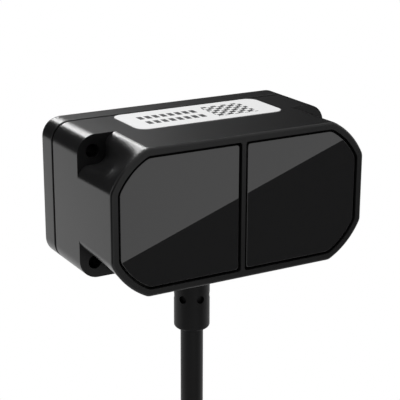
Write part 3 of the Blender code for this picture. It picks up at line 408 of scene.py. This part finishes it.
def front_corner(inset):
    """The bowed corner of the front, as distances from the side and the top."""
    centre = NOTCH_LEG / 2 + math.sqrt(NOTCH_RADIUS**2 / 2 - NOTCH_LEG**2 / 4)
    radius = NOTCH_RADIUS - inset
    end = centre - math.sqrt(radius**2 - (centre - inset) ** 2)
    first = math.atan2(end - centre, inset - centre)
    sweep = (math.atan2(inset - centre, end - centre) - first) % (2 * math.pi)
    angles = [first + sweep * k / BOW_STEPS for k in range(BOW_STEPS + 1)]
    bow = [(centre + radius * math.cos(a), centre + radius * math.sin(a)) for a in angles]
    path = [(inset, end + NOTCH_LEG), *bow, (end + NOTCH_LEG, inset)]
    return even(bend(path, [BLEND, *[0] * (BOW_STEPS - 1), BLEND])[1:-1])


def pocket_corner():
    """The square pocket that the notch has become at the flange."""
    path = [
        (0, 2 * NOTCH_LEG),
        (0, NOTCH_LEG),
        (POCKET_FLARE, POCKET),
        (POCKET, POCKET),
        (POCKET, POCKET_FLARE),
        (NOTCH_LEG, 0),
        (2 * NOTCH_LEG, 0),
    ]
    return even(bend(path, [BLEND, BLEND, POCKET_RADIUS, BLEND, BLEND])[1:-1])


def round_corner(inset):
    """The flange's round corner, between the same two points as the pocket."""
    end = pocket_corner()[0].y
    return even(bend([(inset, end), (inset, inset), (end, inset)], [CORNER - inset], 24))


def inner_corner(inset):
    """The hollow's corner, cut off behind the notch."""
    side = WALL + inset
    leg = NOTCH_LEG + WALL - inset * (2 - math.sqrt(2))
    path = [(side, side + 2 * leg), (side, side + leg), (side + leg, side), (side + 2 * leg, side)]
    return even(bend(path, [HOLLOW_ROUNDING] * 2, 6)[1:-1])


def quarter(radius, steps=6):
    """Inset and depth along a quarter round, from the face to the side."""
    angles = [math.pi / 2 * k / steps for k in range(steps + 1)]
    return [(radius * (1 - math.sin(a)), radius * (1 - math.cos(a))) for a in angles]


print("points round the body:", len(around(front_corner(0))))

# %% [markdown]
# ## What is cut into the housing
# The front holds two openings with a ledge for the panes, the top a shallow bed for the label, and
# the corners and the bottom have round holes. Each cutter is a helper of its own, so the cover and
# the panes can use the same outlines with a little clearance.

# %% Window, label and hole outlines
def window_outline(side, inset, inner):
    """One window: the front's corners on the outside, a straight divider inside."""
    corner = front_corner(inset)
    outer = [(HALF_W - u, v - HALF_H) for u, v in corner[::-1]]
    outer += [(HALF_W - u, HALF_H - v) for u, v in corner]
    top = HALF_H - inset
    ends = bend([outer[-1], (inner, top), (inner, -top), outer[0]], [PANE_CORNER] * 2, 6)
    outline = outer + [tuple(p) for p in ends[1:-1]]
    return outline if side > 0 else [(-x, z) for x, z in outline[::-1]]


LABEL_X, LABEL_HALF, LABEL_FRONT, LABEL_REAR = 1.1 * MM, 20.5 * MM, 15.6 * MM, 31.6 * MM
LABEL_CORNER, LABEL_PROUD, LABEL_SUNK = 2.8 * MM, 0.1 * MM, 0.15 * MM
BED_DEPTH, BED_GAP = 0.2 * MM, 0.12 * MM


def upright_block(place, half_x, half_y, radius, height, segments):
    """A rounded rectangle grown upwards, with the points of its upper face."""
    bm = bmesh.new()
    bmesh.ops.create_grid(bm, x_segments=1, y_segments=1, size=1)
    bmesh.ops.scale(bm, vec=(half_x, half_y, 1), verts=bm.verts)
    bmesh.ops.translate(bm, vec=place, verts=bm.verts)
    bmesh.ops.bevel(
        bm, geom=bm.verts[:], offset=radius, offset_type="OFFSET", segments=segments,
        profile=0.5, affect="VERTICES", material=-1,
    )
    grown = bmesh.ops.extrude_face_region(bm, geom=bm.faces[:])["geom"]
    lifted = [v for v in grown if isinstance(v, bmesh.types.BMVert)]
    bmesh.ops.translate(bm, vec=(0, 0, height), verts=lifted)
    return bm, lifted


def label_block(grow, low, high, soft=0.0):
    """The label's shape between two heights, with a rounded upper rim if it is soft."""
    place = at(LABEL_X, (LABEL_FRONT + LABEL_REAR) / 2, low)
    half_y = (LABEL_REAR - LABEL_FRONT) / 2 + grow
    bm, lifted = upright_block(place, LABEL_HALF + grow, half_y, LABEL_CORNER + grow, high - low, 10)
    if soft:
        rim = [e for e in bm.edges if all(v in lifted for v in e.verts) and len(e.link_faces) == 2]
        bmesh.ops.bevel(
            bm, geom=rim, offset=soft, segments=3, profile=0.5, affect="EDGES", material=-1,
        )
    return bm


def four_places(x, z):
    """The same place in all four corners."""
    return [(sx * x, sz * z) for sx in (-1, 1) for sz in (-1, 1)]


MOUNTS = four_places(30.8 * MM, 13.85 * MM)
COVER_SCREWS = four_places(25.0 * MM, 14.55 * MM)
RELIEF_Y = -14.1 * MM
print("mounting holes, mm:", [(round(x / MM, 1), round(z / MM, 1)) for x, z in MOUNTS])

# %% Housing
RAMP_STEPS = 20
SCREW_TIP, RELIEF_HOLE = 27.5 * MM, 4.2 * MM


def rods(places, radius, start, end, top=None):
    """Round cutters from one depth to another."""
    bm = bmesh.new()
    for x, z in places:
        cylinder(bm, at(x, start, z), (0, 1, 0), radius, end - start, top=top)
    return bm


def prism(outline, start, end):
    """An outline drawn out from one depth to another."""
    return swept([(start, outline), (end, outline)])


arc, pocket = front_corner(0), pocket_corner()
sections = [(depth, around(front_corner(inset))) for inset, depth in quarter(FRONT_ROUNDING)]
for k in range(1, RAMP_STEPS + 1):
    share = k / RAMP_STEPS
    blend = [a.lerp(b, share) for a, b in zip(arc, pocket)]
    sections.append((FRONT_ROUNDING + (FLANGE - FRONT_ROUNDING) * share, around(blend)))
sections.append((FLANGE, around(round_corner(0))))
for inset, back in quarter(EDGE, 3)[::-1]:
    sections.append((HOUSING_REAR - back, around(round_corner(inset))))
housing = swept(sections)
tools = [
    prism(around(inner_corner(0)), FRONT_WALL, DEPTH),
    rods(MOUNTS, MOUNT_RADIUS, FLANGE - WALL, DEPTH),
    rods(COVER_SCREWS, SCREW_RADIUS, SCREW_TIP, DEPTH),
    label_block(BED_GAP, HALF_H - BED_DEPTH, HALF_H + WALL),
    cylinder(
        bmesh.new(), (0, RELIEF_Y, -HALF_H - WALL), (0, 0, 1), RELIEF_HOLE, 2 * WALL + MM,
        segments=48,
    ),
]
for side in (-1, 1):
    tools.append(prism(window_outline(side, BEZEL, DIVIDER / 2), -WALL, POCKET_FLOOR))
    opening = window_outline(side, BEZEL + LEDGE, DIVIDER / 2 + LEDGE)
    tools.append(prism(opening, POCKET_FLOOR / 2, FRONT_WALL + WALL))
new_piece("housing_shell", carved(housing, *tools), "housing", "front_housing")

# %% [markdown]
# ## The rear cover
# The cover is moulded in the same plastic and closes the box from behind, with a thin parting
# groove between them. Its lip reaches into the housing and holds the seal. The same kind of sweep
# makes it, from the tip of the lip to the softly rounded rear edge.

# %% Cover
COVER_FLOOR, LIP_WALL, SEAL_INSET = 36.7 * MM, 2.7 * MM, 1.5 * MM
SINK_RADIUS, SINK_DEPTH, OVERSHOOT = 2.4 * MM, 1.1 * MM, 0.2 * MM
lip, groove = around(inner_corner(GAP)), around(inner_corner(SEAL_INSET))
collar = 0.8 * MM
sections = [
    (LIP_TIP, lip),
    (LIP_TIP + collar, lip),
    (LIP_TIP + collar, groove),
    (PARTING - collar, groove),
    (PARTING - collar, lip),
    (PARTING, lip),
]
sections += [(PARTING + back, around(round_corner(inset))) for inset, back in quarter(EDGE, 3)]
rim = quarter(REAR_ROUNDING, 8)[::-1]
sections += [(DEPTH - back, around(round_corner(inset))) for inset, back in rim]
cover = carved(
    swept(sections),
    prism(around(inner_corner(LIP_WALL)), LIP_TIP - WALL, COVER_FLOOR),
    rods(MOUNTS, MOUNT_RADIUS, PARTING - WALL, DEPTH + WALL),
    rods(COVER_SCREWS, SCREW_RADIUS, PARTING - WALL, DEPTH),
    rods(COVER_SCREWS, SCREW_RADIUS, DEPTH - SINK_DEPTH, DEPTH + OVERSHOOT, top=SINK_RADIUS),
)
new_piece("cover_shell", cover, "housing", "rear_cover")

# %% [markdown]
# ## The windows
# Each window is a flat pane of polished black plastic that lets infrared light through. It sits a
# little below the bezel, with a fine groove around it. Its edge is barely broken, so the pane is a
# short sweep with a tiny rounding.

# %% Windows
SINK, PANE, BREAK = 0.25 * MM, 1.5 * MM, 0.12 * MM
for side, word in ((-1, "left"), (1, "right")):
    sections = []
    for inset, back in quarter(BREAK, 3):
        outline = window_outline(side, BEZEL + GROOVE + inset, DIVIDER / 2 + GROOVE + inset)
        sections.append((SINK + back, outline))
    sections.append((SINK + PANE, outline))
    new_piece(f"{word}_pane", swept(sections), "window", f"window_{word}")

# %% [markdown]
# ## The label
# A white film label lies in a shallow recess of the top face. The real one is printed with text
# and a code, which are left out here. Plain bars and a plain chequered square stand in for them,
# and both are drawn by the label's shader.

# %% Label
label = label_block(0, HALF_H - LABEL_SUNK, HALF_H + LABEL_PROUD, soft=0.06 * MM)
film = new_piece("label_film_piece", label, "label_film", "top_label")

# %% [markdown]
# ## The label's print
# The print could be a mesh or an image, but a few Math nodes are enough. Comparing the place on
# the film with a range gives a bar, the fraction of a repeated step gives the gaps, and two such
# patterns taken from each other give the chequers. The ink is a second colour under the same
# sheen.

# %% Label print
INK = (0.02, 0.02, 0.022, 1)
FRONT_ROW, REAR_ROW = (19.6 * MM, 22.3 * MM), (24.5 * MM, 27.2 * MM)
BARS, BAR_PITCH, BAR_SHARE = (-14.8 * MM, 1.5 * MM), 2.1 * MM, 0.66
SQUARE_SIDE, SQUARE_DEPTH, CELL_PITCH = (4 * MM, 15.5 * MM), (18.4 * MM, 28.6 * MM), 2.9 * MM


def label_print(made):
    """Dark bars in two rows, and a chequered square, where the real label is printed."""
    nodes, links = made.node_tree.nodes, made.node_tree.links
    place, parts = nodes.new("ShaderNodeTexCoord"), nodes.new("ShaderNodeSeparateXYZ")
    links.new(place.outputs["Object"], parts.inputs[0])
    x, y = parts.outputs["X"], parts.outputs["Y"]

    def step(operation, *values):
        return math_node(nodes, links, operation, *values)

    def within(value, span, start=0.0):
        low, high = start + span[0], start + span[1]
        return step("COMPARE", value, (low + high) / 2, (high - low) / 2)

    def every(value, pitch, share):
        return step("LESS_THAN", step("FRACT", step("DIVIDE", value, pitch)), share)

    rows = step("ADD", within(y, FRONT_ROW, FRONT), within(y, REAR_ROW, FRONT))
    rows = step("MULTIPLY", rows, within(x, BARS))
    bars = step("MULTIPLY", rows, every(x, BAR_PITCH, BAR_SHARE))
    square = step("MULTIPLY", within(x, SQUARE_SIDE), within(y, SQUARE_DEPTH, FRONT))
    odd = step("SUBTRACT", every(x, CELL_PITCH, 0.5), every(y, CELL_PITCH, 0.5))
    mask = step("MAXIMUM", bars, step("MULTIPLY", square, step("ABSOLUTE", odd)))
    mix = nodes.new("ShaderNodeMix")
    mix.data_type = "RGBA"
    links.new(mask, mix.inputs["Factor"])
    shader = nodes["Principled BSDF"]
    links.new(shader.inputs["Base Color"].links[0].from_socket, mix.inputs["A"])
    mix.inputs["B"].default_value = INK
    links.new(mix.outputs["Result"], shader.inputs["Base Color"])
    return made


film.data.materials[0] = label_print(FINISHES["label_film"].copy())
print("label material:", film.data.materials[0].name)

# %% [markdown]
# ## The strain relief
# A soft boot is moulded round the cable where it leaves the housing. It is a plain cylinder with a
# rounded lower rim and a ring of blind holes, which let it flex. The body is spun from a profile.

# %% Strain relief
def spun(profile, place, segments=64):
    """A closed profile of (radius, height) pairs, turned round the vertical."""
    bm = bmesh.new()
    verts = [bm.verts.new((radius, 0, height)) for radius, height in profile]
    edges = [bm.edges.new(pair) for pair in zip(verts, verts[1:] + verts[:1])]
    bmesh.ops.spin(
        bm, geom=verts + edges, cent=(0, 0, 0), axis=(0, 0, 1), angle=2 * math.pi,
        steps=segments, use_merge=True,
    )
    bmesh.ops.translate(bm, vec=place, verts=bm.verts)
    return bm


JACKET, JACKET_GAP = 3.0 * MM, 0.1 * MM
RELIEF, RELIEF_TOP, RELIEF_END = 4.7 * MM, -18.15 * MM, -39.55 * MM
RELIEF_FLANGE, RELIEF_NECK, RELIEF_ROUNDING = 4.4 * MM, 3.9 * MM, 0.8 * MM
CAVITY_FLOOR, FLANGE_TOP = -15.65 * MM, -13.55 * MM
DIMPLES, DIMPLE_RADIUS, DIMPLE_DEPTH, DIMPLE_DROP = 6, 1.05 * MM, 1.1 * MM, 12.6 * MM
profile = [
    (JACKET + GAP, FLANGE_TOP),
    (RELIEF_FLANGE, FLANGE_TOP),
    (RELIEF_FLANGE, CAVITY_FLOOR + GAP),
    (RELIEF_NECK, CAVITY_FLOOR + GAP),
    (RELIEF_NECK, RELIEF_TOP),
]
profile += [(RELIEF - inset, RELIEF_TOP - back) for inset, back in quarter(EDGE, 3)]
profile += [(RELIEF - inset, RELIEF_END + back) for inset, back in quarter(RELIEF_ROUNDING, 8)[::-1]]
profile.append((JACKET + JACKET_GAP, RELIEF_END))
dimples = bmesh.new()
for k in range(DIMPLES):
    angle = 2 * math.pi * k / DIMPLES
    outward = Vector((math.sin(angle), -math.cos(angle), 0))
    start = Vector((0, RELIEF_Y, RELIEF_TOP - DIMPLE_DROP)) + outward * (RELIEF - DIMPLE_DEPTH)
    cylinder(dimples, start, outward, DIMPLE_RADIUS, 3 * DIMPLE_DEPTH)
relief = carved(spun(profile, (0, RELIEF_Y, 0)), dimples)
new_piece("strain_relief", relief, "cable_rubber", "cable_relief")

# %% [markdown]
# ## The cable
# The cable hangs down and ends in a hank: it is folded twice round narrow loops and tied at the
# waist, as it comes in its bag. One curve follows its centre line from the boot to the plug, so
# the jacket is a single round tube. Its length is printed below.

# %% Cable path
HANK_MIDDLE, REACH, WAIST = -125.35 * MM, 48.6 * MM, 3.4 * MM
LAYERS = (-3.3 * MM, -9.3 * MM, -15.3 * MM)
TAIL_Y, TAIL_END = -32.1 * MM, -187.7 * MM
CABLE_START, LEAN = -11.95 * MM, 30 * MM
LEAD_STEPS, TURN_STEPS, TURNS, TAIL_STEPS = 100, 600, 2, 60


def ease(share):
    """A soft start and a soft end between 0 and 1."""
    share = max(0.0, min(1.0, share))
    return share * share * (3 - 2 * share)


def loop_point(angle):
    """A folded turn: a loop with a narrow waist, in X and Z."""
    half2, span2 = (REACH**2 - WAIST**2) / 2, (REACH**2 + WAIST**2) / 2
    s = math.sin(2 * angle) * half2
    radius = math.sqrt(-half2 * math.cos(2 * angle) + math.sqrt(span2**2 - s**2))
    return radius * math.cos(angle), radius * math.sin(angle)


def layer_at(turns):
    """How far in front of the lead the cable lies, after so many turns."""
    first = ease(2 * turns - 1)
    second = ease(2 * turns - 3)
    return LAYERS[0] + (LAYERS[1] - LAYERS[0]) * first + (LAYERS[2] - LAYERS[1]) * second


path = [Vector((0, RELIEF_Y, CABLE_START))]
for k in range(LEAD_STEPS + 1):
    z = CABLE_START + (HANK_MIDDLE - CABLE_START) * k / LEAD_STEPS
    side = ease((HANK_MIDDLE + LEAN - z) / LEAN)
    path.append(Vector((WAIST * side, RELIEF_Y + LAYERS[0] * side, z)))
for k in range(1, TURNS * TURN_STEPS + 1):
    turns = k / TURN_STEPS
    x, z = loop_point(-2 * math.pi * turns)
    path.append(Vector((x, RELIEF_Y + layer_at(turns), HANK_MIDDLE + z)))
start = RELIEF_Y + LAYERS[2]
for k in range(1, TAIL_STEPS + 1):
    z = HANK_MIDDLE + (TAIL_END - HANK_MIDDLE) * k / TAIL_STEPS
    side = ease((HANK_MIDDLE - z) / LEAN)
    path.append(Vector((WAIST * (1 - side), start + (TAIL_Y - start) * side, z)))
cable_length = sum((b - a).length for a, b in zip(path, path[1:]))
outside = cable_length - (CABLE_START - RELIEF_END)
print("cable, mm:", round(cable_length / MM), "of which outside the boot:", round(outside / MM))

# %% Cable
CABLE_POINTS = 260
spaced = even(path, CABLE_POINTS)
line = bpy.data.curves.new("cable line", "CURVE")
line.dimensions = "3D"
line.bevel_depth = JACKET
line.bevel_resolution = 8
line.use_fill_caps = True
spline = line.splines.new("POLY")
spline.points.add(len(spaced) - 1)
for point, place in zip(spline.points, spaced):
    point.co = (*place, 1)
spline.use_smooth = True
cable = bpy.data.objects.new("cable_jacket", line)
bpy.context.scene.collection.objects.link(cable)
line.materials.append(FINISHES["cable_rubber"])
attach(cable, "root")
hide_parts("cable", "cable_hank", "cable_tail")
print("cable points:", len(spaced))

# %% [markdown]
# ## The tie
# A strip of black nylon holds the hank at its waist. It is a rounded band with a small square
# head, where the strip is pulled through. The head is joined to the band by a Boolean.

# %% Tie
TIE_HALF, TIE_HEIGHT, STRAP, TIE_GAP = 7.35 * MM, 4.0 * MM, 1.2 * MM, 0.2 * MM
HOLE_CORNER, HEAD_ROUNDING = 2.4 * MM, 0.5 * MM
HEAD = (5.2 * MM, 3.4 * MM, 5.6 * MM)


def band(half, front, rear, radius, low, high):
    """An upright block between a front and a rear."""
    place = (0, (front + rear) / 2, low)
    return upright_block(place, half, (rear - front) / 2, radius, high - low, 8)[0]


front = RELIEF_Y + LAYERS[2] - JACKET - TIE_GAP
rear = RELIEF_Y + LAYERS[0] + JACKET + TIE_GAP
low, high = HANK_MIDDLE - TIE_HEIGHT / 2, HANK_MIDDLE + TIE_HEIGHT / 2
outer = band(TIE_HALF + STRAP, front - STRAP, rear + STRAP, HOLE_CORNER + STRAP, low, high)
hole = band(TIE_HALF, front, rear, HOLE_CORNER, low - MM, high + MM)
head = bmesh.new()
bmesh.ops.create_cube(head, size=1)
bmesh.ops.scale(head, vec=HEAD, verts=head.verts)
bmesh.ops.bevel(
    head, geom=head.edges[:], offset=HEAD_ROUNDING, segments=3, profile=0.5, affect="EDGES",
    material=-1,
)
bmesh.ops.translate(head, vec=(0, front - 2 * STRAP, HANK_MIDDLE), verts=head.verts)
strap = carved(carved(outer, hole), head, operation="UNION")
tie = new_piece("nylon_tie", strap, "moulded_black", "cable_tie")

# %% [markdown]
# ## The plug
# The far end carries a round plug: a moulded grip with ribs, a metal coupling nut with a knurl,
# and an insert with four pins. The ribs and the knurl are single faces of a spun body, inset and
# pushed in, just as a mould or a knurling wheel leaves them.

# %% Plug
GRIP_TOP, NUT_TOP = -186.55 * MM, -203.85 * MM
GRIP_WAIST, GRIP_WIDE, GRIP_LENGTH = 3.7 * MM, 4.7 * MM, 17 * MM
GRIP_BORE, CORE = JACKET + JACKET_GAP, 0.5 * MM
NUT_BORE, NUT_RADIUS, NUT_BREAK = 3.4 * MM, 4.9 * MM, 0.3 * MM
INSERT_RADIUS, INSERT_LENGTH = 3.1 * MM, 8 * MM
PINS, PIN_CIRCLE, PIN_RADIUS, PIN_LENGTH = 4, 1.6 * MM, 0.4 * MM, 1.95 * MM


def grooved(bm, low, high, every, inset, depth):
    """Every so many of the tall side faces between two heights, inset and pushed in."""
    tall = [f for f in bm.faces if low < f.calc_center_median().z < high and abs(f.normal.z) < 0.1]
    axis, flat = Vector((0, TAIL_Y, 0)), Vector((1, 1, 0))
    outer = [f for f in tall if f.normal.dot((f.calc_center_median() - axis) * flat) > 0]
    outer.sort(key=lambda f: math.atan2(f.calc_center_median().y - TAIL_Y, f.calc_center_median().x))
    bmesh.ops.inset_individual(bm, faces=outer[::every], thickness=inset, depth=-depth)


profile = [(GRIP_BORE, 0), (GRIP_WAIST - 0.4 * MM, 0), (GRIP_WAIST, -0.4 * MM)]
profile += [(GRIP_WAIST, -7.7 * MM), (GRIP_WIDE - 0.3 * MM, -9.1 * MM), (GRIP_WIDE, -9.6 * MM)]
profile += [(GRIP_WIDE, 0.4 * MM - GRIP_LENGTH), (GRIP_WIDE - 0.4 * MM, -GRIP_LENGTH)]
profile += [(CORE, -GRIP_LENGTH), (CORE, -2 * MM), (GRIP_BORE, -2 * MM)]
grip_body = spun(profile, (0, TAIL_Y, GRIP_TOP), 48)
bmesh.ops.recalc_face_normals(grip_body, faces=grip_body.faces)
grooved(grip_body, GRIP_TOP - 16 * MM, GRIP_TOP - 12 * MM, 2, 0.12 * MM, 0.25 * MM)
grip = new_piece("ribbed_grip", grip_body, "moulded_black", "plug_grip")

neck, end = NUT_RADIUS - NUT_BREAK, -10.5 * MM
profile = [(NUT_BORE, 0), (neck, 0), (NUT_RADIUS, -NUT_BREAK), (NUT_RADIUS, -7 * MM)]
profile += [(neck, -7 * MM - NUT_BREAK), (neck, end + NUT_BREAK), (neck - NUT_BREAK, end)]
profile += [(NUT_BORE + NUT_BREAK, end), (NUT_BORE, end + NUT_BREAK)]
nut_body = spun(profile, (0, TAIL_Y, NUT_TOP), 72)
bmesh.ops.recalc_face_normals(nut_body, faces=nut_body.faces)
grooved(nut_body, NUT_TOP - 6 * MM, NUT_TOP - 2 * MM, 2, 0.06 * MM, 0.12 * MM)
nut = new_piece("coupling_nut", nut_body, "steel", "plug_nut")

place = (0, TAIL_Y, NUT_TOP - INSERT_LENGTH)
insert_body = cylinder(bmesh.new(), place, (0, 0, 1), INSERT_RADIUS, INSERT_LENGTH, segments=48)
insert = new_piece("contact_insert", insert_body, "moulded_black", "plug_insert")
pins = bmesh.new()
for k in range(PINS):
    angle = 2 * math.pi * (k + 0.5) / PINS
    x, y = PIN_CIRCLE * math.cos(angle), TAIL_Y + PIN_CIRCLE * math.sin(angle)
    cylinder(pins, (x, y, NUT_TOP - 10 * MM), (0, 0, 1), PIN_RADIUS, PIN_LENGTH, segments=16)
new_piece("contact_pins", pins, "brass")

# %% [markdown]
# ## The cable's length
# The cable bends freely. It leaves the boot at the lower rim, and its length is printed here.

# %% Cord
print("cord declared, m:", round(cable_length, 3))

# %% [markdown]
# ## Light and surroundings
# The photograph has a plain white ground, a broad light on the left and a narrower one behind the
# body that draws bright lines along its left edges.

# %% World
world = bpy.data.worlds.new("studio")
bpy.context.scene.world = world
world.use_nodes = True
nodes, links = world.node_tree.nodes, world.node_tree.links
AMBIENT = 0.25


def seen_directly(nodes, links):
    """1 for rays from the camera or a mirror or glass, and 0 for light that is scattered."""
    ray = nodes.new("ShaderNodeLightPath").outputs
    seen = math_node(nodes, links, "MAXIMUM", ray["Is Camera Ray"], ray["Is Glossy Ray"])
    return math_node(nodes, links, "MAXIMUM", seen, ray["Is Transmission Ray"])


strength = nodes.new("ShaderNodeMapRange")
strength.inputs["To Min"].default_value = AMBIENT
strength.inputs["To Max"].default_value = 1
links.new(seen_directly(nodes, links), strength.inputs["Value"])
nodes["Background"].inputs["Color"].default_value = (1, 1, 1, 1)
links.new(strength.outputs[0], nodes["Background"].inputs["Strength"])
bpy.context.scene.view_settings.view_transform = "Standard"
print("ambient level:", AMBIENT)

# %% [markdown]
# ## Three lamps
# A black object is mostly seen by what it reflects. The large softbox on the left gives the side
# face its even grey, the narrow lamp behind draws the bright lines on the left edges, and the
# light from above lifts the top face and the label. None of them is seen by the camera.

# %% Lamps
BODY_CENTRE, UPPER_EDGE = (0, -0.02, 0), (0, -0.02, 0.01)


def softbox(name, place, target, width, height, power, spin=0):
    """A rectangular lamp that the camera doesn't see, turned about its own axis."""
    lamp = bpy.data.lights.new(name, "AREA")
    lamp.shape = "RECTANGLE"
    lamp.size, lamp.size_y = width, height
    lamp.energy = power
    made = bpy.data.objects.new(name, lamp)
    bpy.context.scene.collection.objects.link(made)
    aim = (Vector(target) - Vector(place)).to_track_quat("-Z", "Y").to_matrix().to_4x4()
    made.matrix_world = Matrix.Translation(place) @ aim @ Matrix.Rotation(math.radians(spin), 4, "Z")
    made.visible_camera = False
    return made


softbox("left softbox", (-1.1, 0.25, 0.15), BODY_CENTRE, 0.9, 0.9, power=4)
softbox("rear strip", (0.18, 0.9, 0.57), UPPER_EDGE, 0.5, 0.1, power=4.8, spin=-22)
softbox("top light", (0, -0.1, 1.1), BODY_CENTRE, 0.5, 0.5, power=6)

# %% [markdown]
# ## The floor
# The white ground of the photograph has no visible horizon. A pale plane far below the sensor keeps
# a soft shadow, and a little way out it turns into plain white, so its rim is never seen. From
# below it is clear, which lets the underside be looked at.

# %% Floor
FLOOR_Z, FLOOR_HALF = -0.25, 6
FADE_START, FADE_END = 0.18, 0.3
bm = bmesh.new()
bmesh.ops.create_grid(bm, x_segments=1, y_segments=1, size=FLOOR_HALF)
bmesh.ops.translate(bm, vec=(0, 0, FLOOR_Z), verts=bm.verts)
floor = as_object("floor", bm)
pale = bpy.data.materials.new("pale floor")
pale.use_nodes = True
nodes, links = pale.node_tree.nodes, pale.node_tree.links
nodes["Principled BSDF"].inputs["Base Color"].default_value = (0.82, 0.82, 0.82, 1)
nodes["Principled BSDF"].inputs["Roughness"].default_value = 0.9
glow, mix = nodes.new("ShaderNodeEmission"), nodes.new("ShaderNodeMixShader")
where, far = nodes.new("ShaderNodeTexCoord"), nodes.new("ShaderNodeMapRange")
away = nodes.new("ShaderNodeVectorMath")
away.operation = "DISTANCE"
away.inputs[1].default_value = (0, 0, FLOOR_Z)
links.new(where.outputs["Object"], away.inputs[0])
links.new(away.outputs["Value"], far.inputs["Value"])
far.inputs["From Min"].default_value = FADE_START
far.inputs["From Max"].default_value = FADE_END
white = math_node(nodes, links, "MULTIPLY", far.outputs[0], seen_directly(nodes, links))
links.new(white, mix.inputs["Fac"])
links.new(nodes["Principled BSDF"].outputs[0], mix.inputs[1])
links.new(glow.outputs[0], mix.inputs[2])
under, clear = nodes.new("ShaderNodeNewGeometry"), nodes.new("ShaderNodeBsdfTransparent")
one_way = nodes.new("ShaderNodeMixShader")
links.new(under.outputs["Backfacing"], one_way.inputs["Fac"])
links.new(mix.outputs[0], one_way.inputs[1])
links.new(clear.outputs[0], one_way.inputs[2])
links.new(one_way.outputs[0], nodes["Material Output"].inputs["Surface"])
floor.data.materials.append(pale)
print("floor at", FLOOR_Z)

# %% [markdown]
# ## Cards for the reflections
# The windows mirror the studio: a pale upper part and a dark lower part, with a slanting edge
# between them. A black card, as photographers use, stands where the camera sees it in the panes,
# and two more keep stray white off the grazing faces. They cast no shadow.

# %% Flag card
MIRROR_Y = FRONT + SINK
CARD_Y, CARD_FOOT = -0.4, FLOOR_Z + MM
EDGE_LEFT, EDGE_RIGHT = (-32.2 * MM, -8.3 * MM), (28.8 * MM, 13 * MM)
MARGIN_LEFT, MARGIN_RIGHT = 0.06, 0.35


def reflected(x, z):
    """Where the card must pass for the camera to see it in the window at (x, z)."""
    eye = camera.matrix_world.translation.copy()
    eye.y = 2 * MIRROR_Y - eye.y
    ray = Vector((x, MIRROR_Y, z)) - eye
    return eye + ray * ((CARD_Y - eye.y) / ray.y)


low, high = reflected(*EDGE_LEFT), reflected(*EDGE_RIGHT)
slope = (high.z - low.z) / (high.x - low.x)
left, right = low.x - MARGIN_LEFT, high.x + MARGIN_RIGHT
corners = [
    (left, CARD_Y, low.z + (left - low.x) * slope),
    (right, CARD_Y, low.z + (right - low.x) * slope),
    (right, CARD_Y, CARD_FOOT),
    (left, CARD_Y, CARD_FOOT),
]
cloth = bpy.data.materials.new("flag cloth")
cloth.use_nodes = True
dull = cloth.node_tree.nodes["Principled BSDF"].inputs
dull["Base Color"].default_value = (0.003, 0.003, 0.003, 1)
dull["Specular IOR Level"].default_value = 0


def card(name, corners):
    """A black card that only reflections see."""
    bm = bmesh.new()
    bm.faces.new([bm.verts.new(place) for place in corners])
    made = as_object(name, bm)
    made.data.materials.append(cloth)
    made.visible_camera = made.visible_shadow = made.visible_diffuse = False


card("flag", corners)
BACK_Y, BACK_TOP = 1.3, 1.7
foot = [(-1.6, BACK_Y, CARD_FOOT), (2.4, BACK_Y, CARD_FOOT)]
card("back_card", foot + [(x, y, BACK_TOP) for x, y, _ in foot[::-1]])
SIDE_X, SIDE_TOP = -0.5, 0.6
foot = [(SIDE_X, -1.8, CARD_FOOT), (SIDE_X, 0.08, CARD_FOOT)]
card("side_card", foot + [(x, y, SIDE_TOP) for x, y, _ in foot[::-1]])
print("flag edge, mm:", [round(c / MM) for c in (*low, *high)])
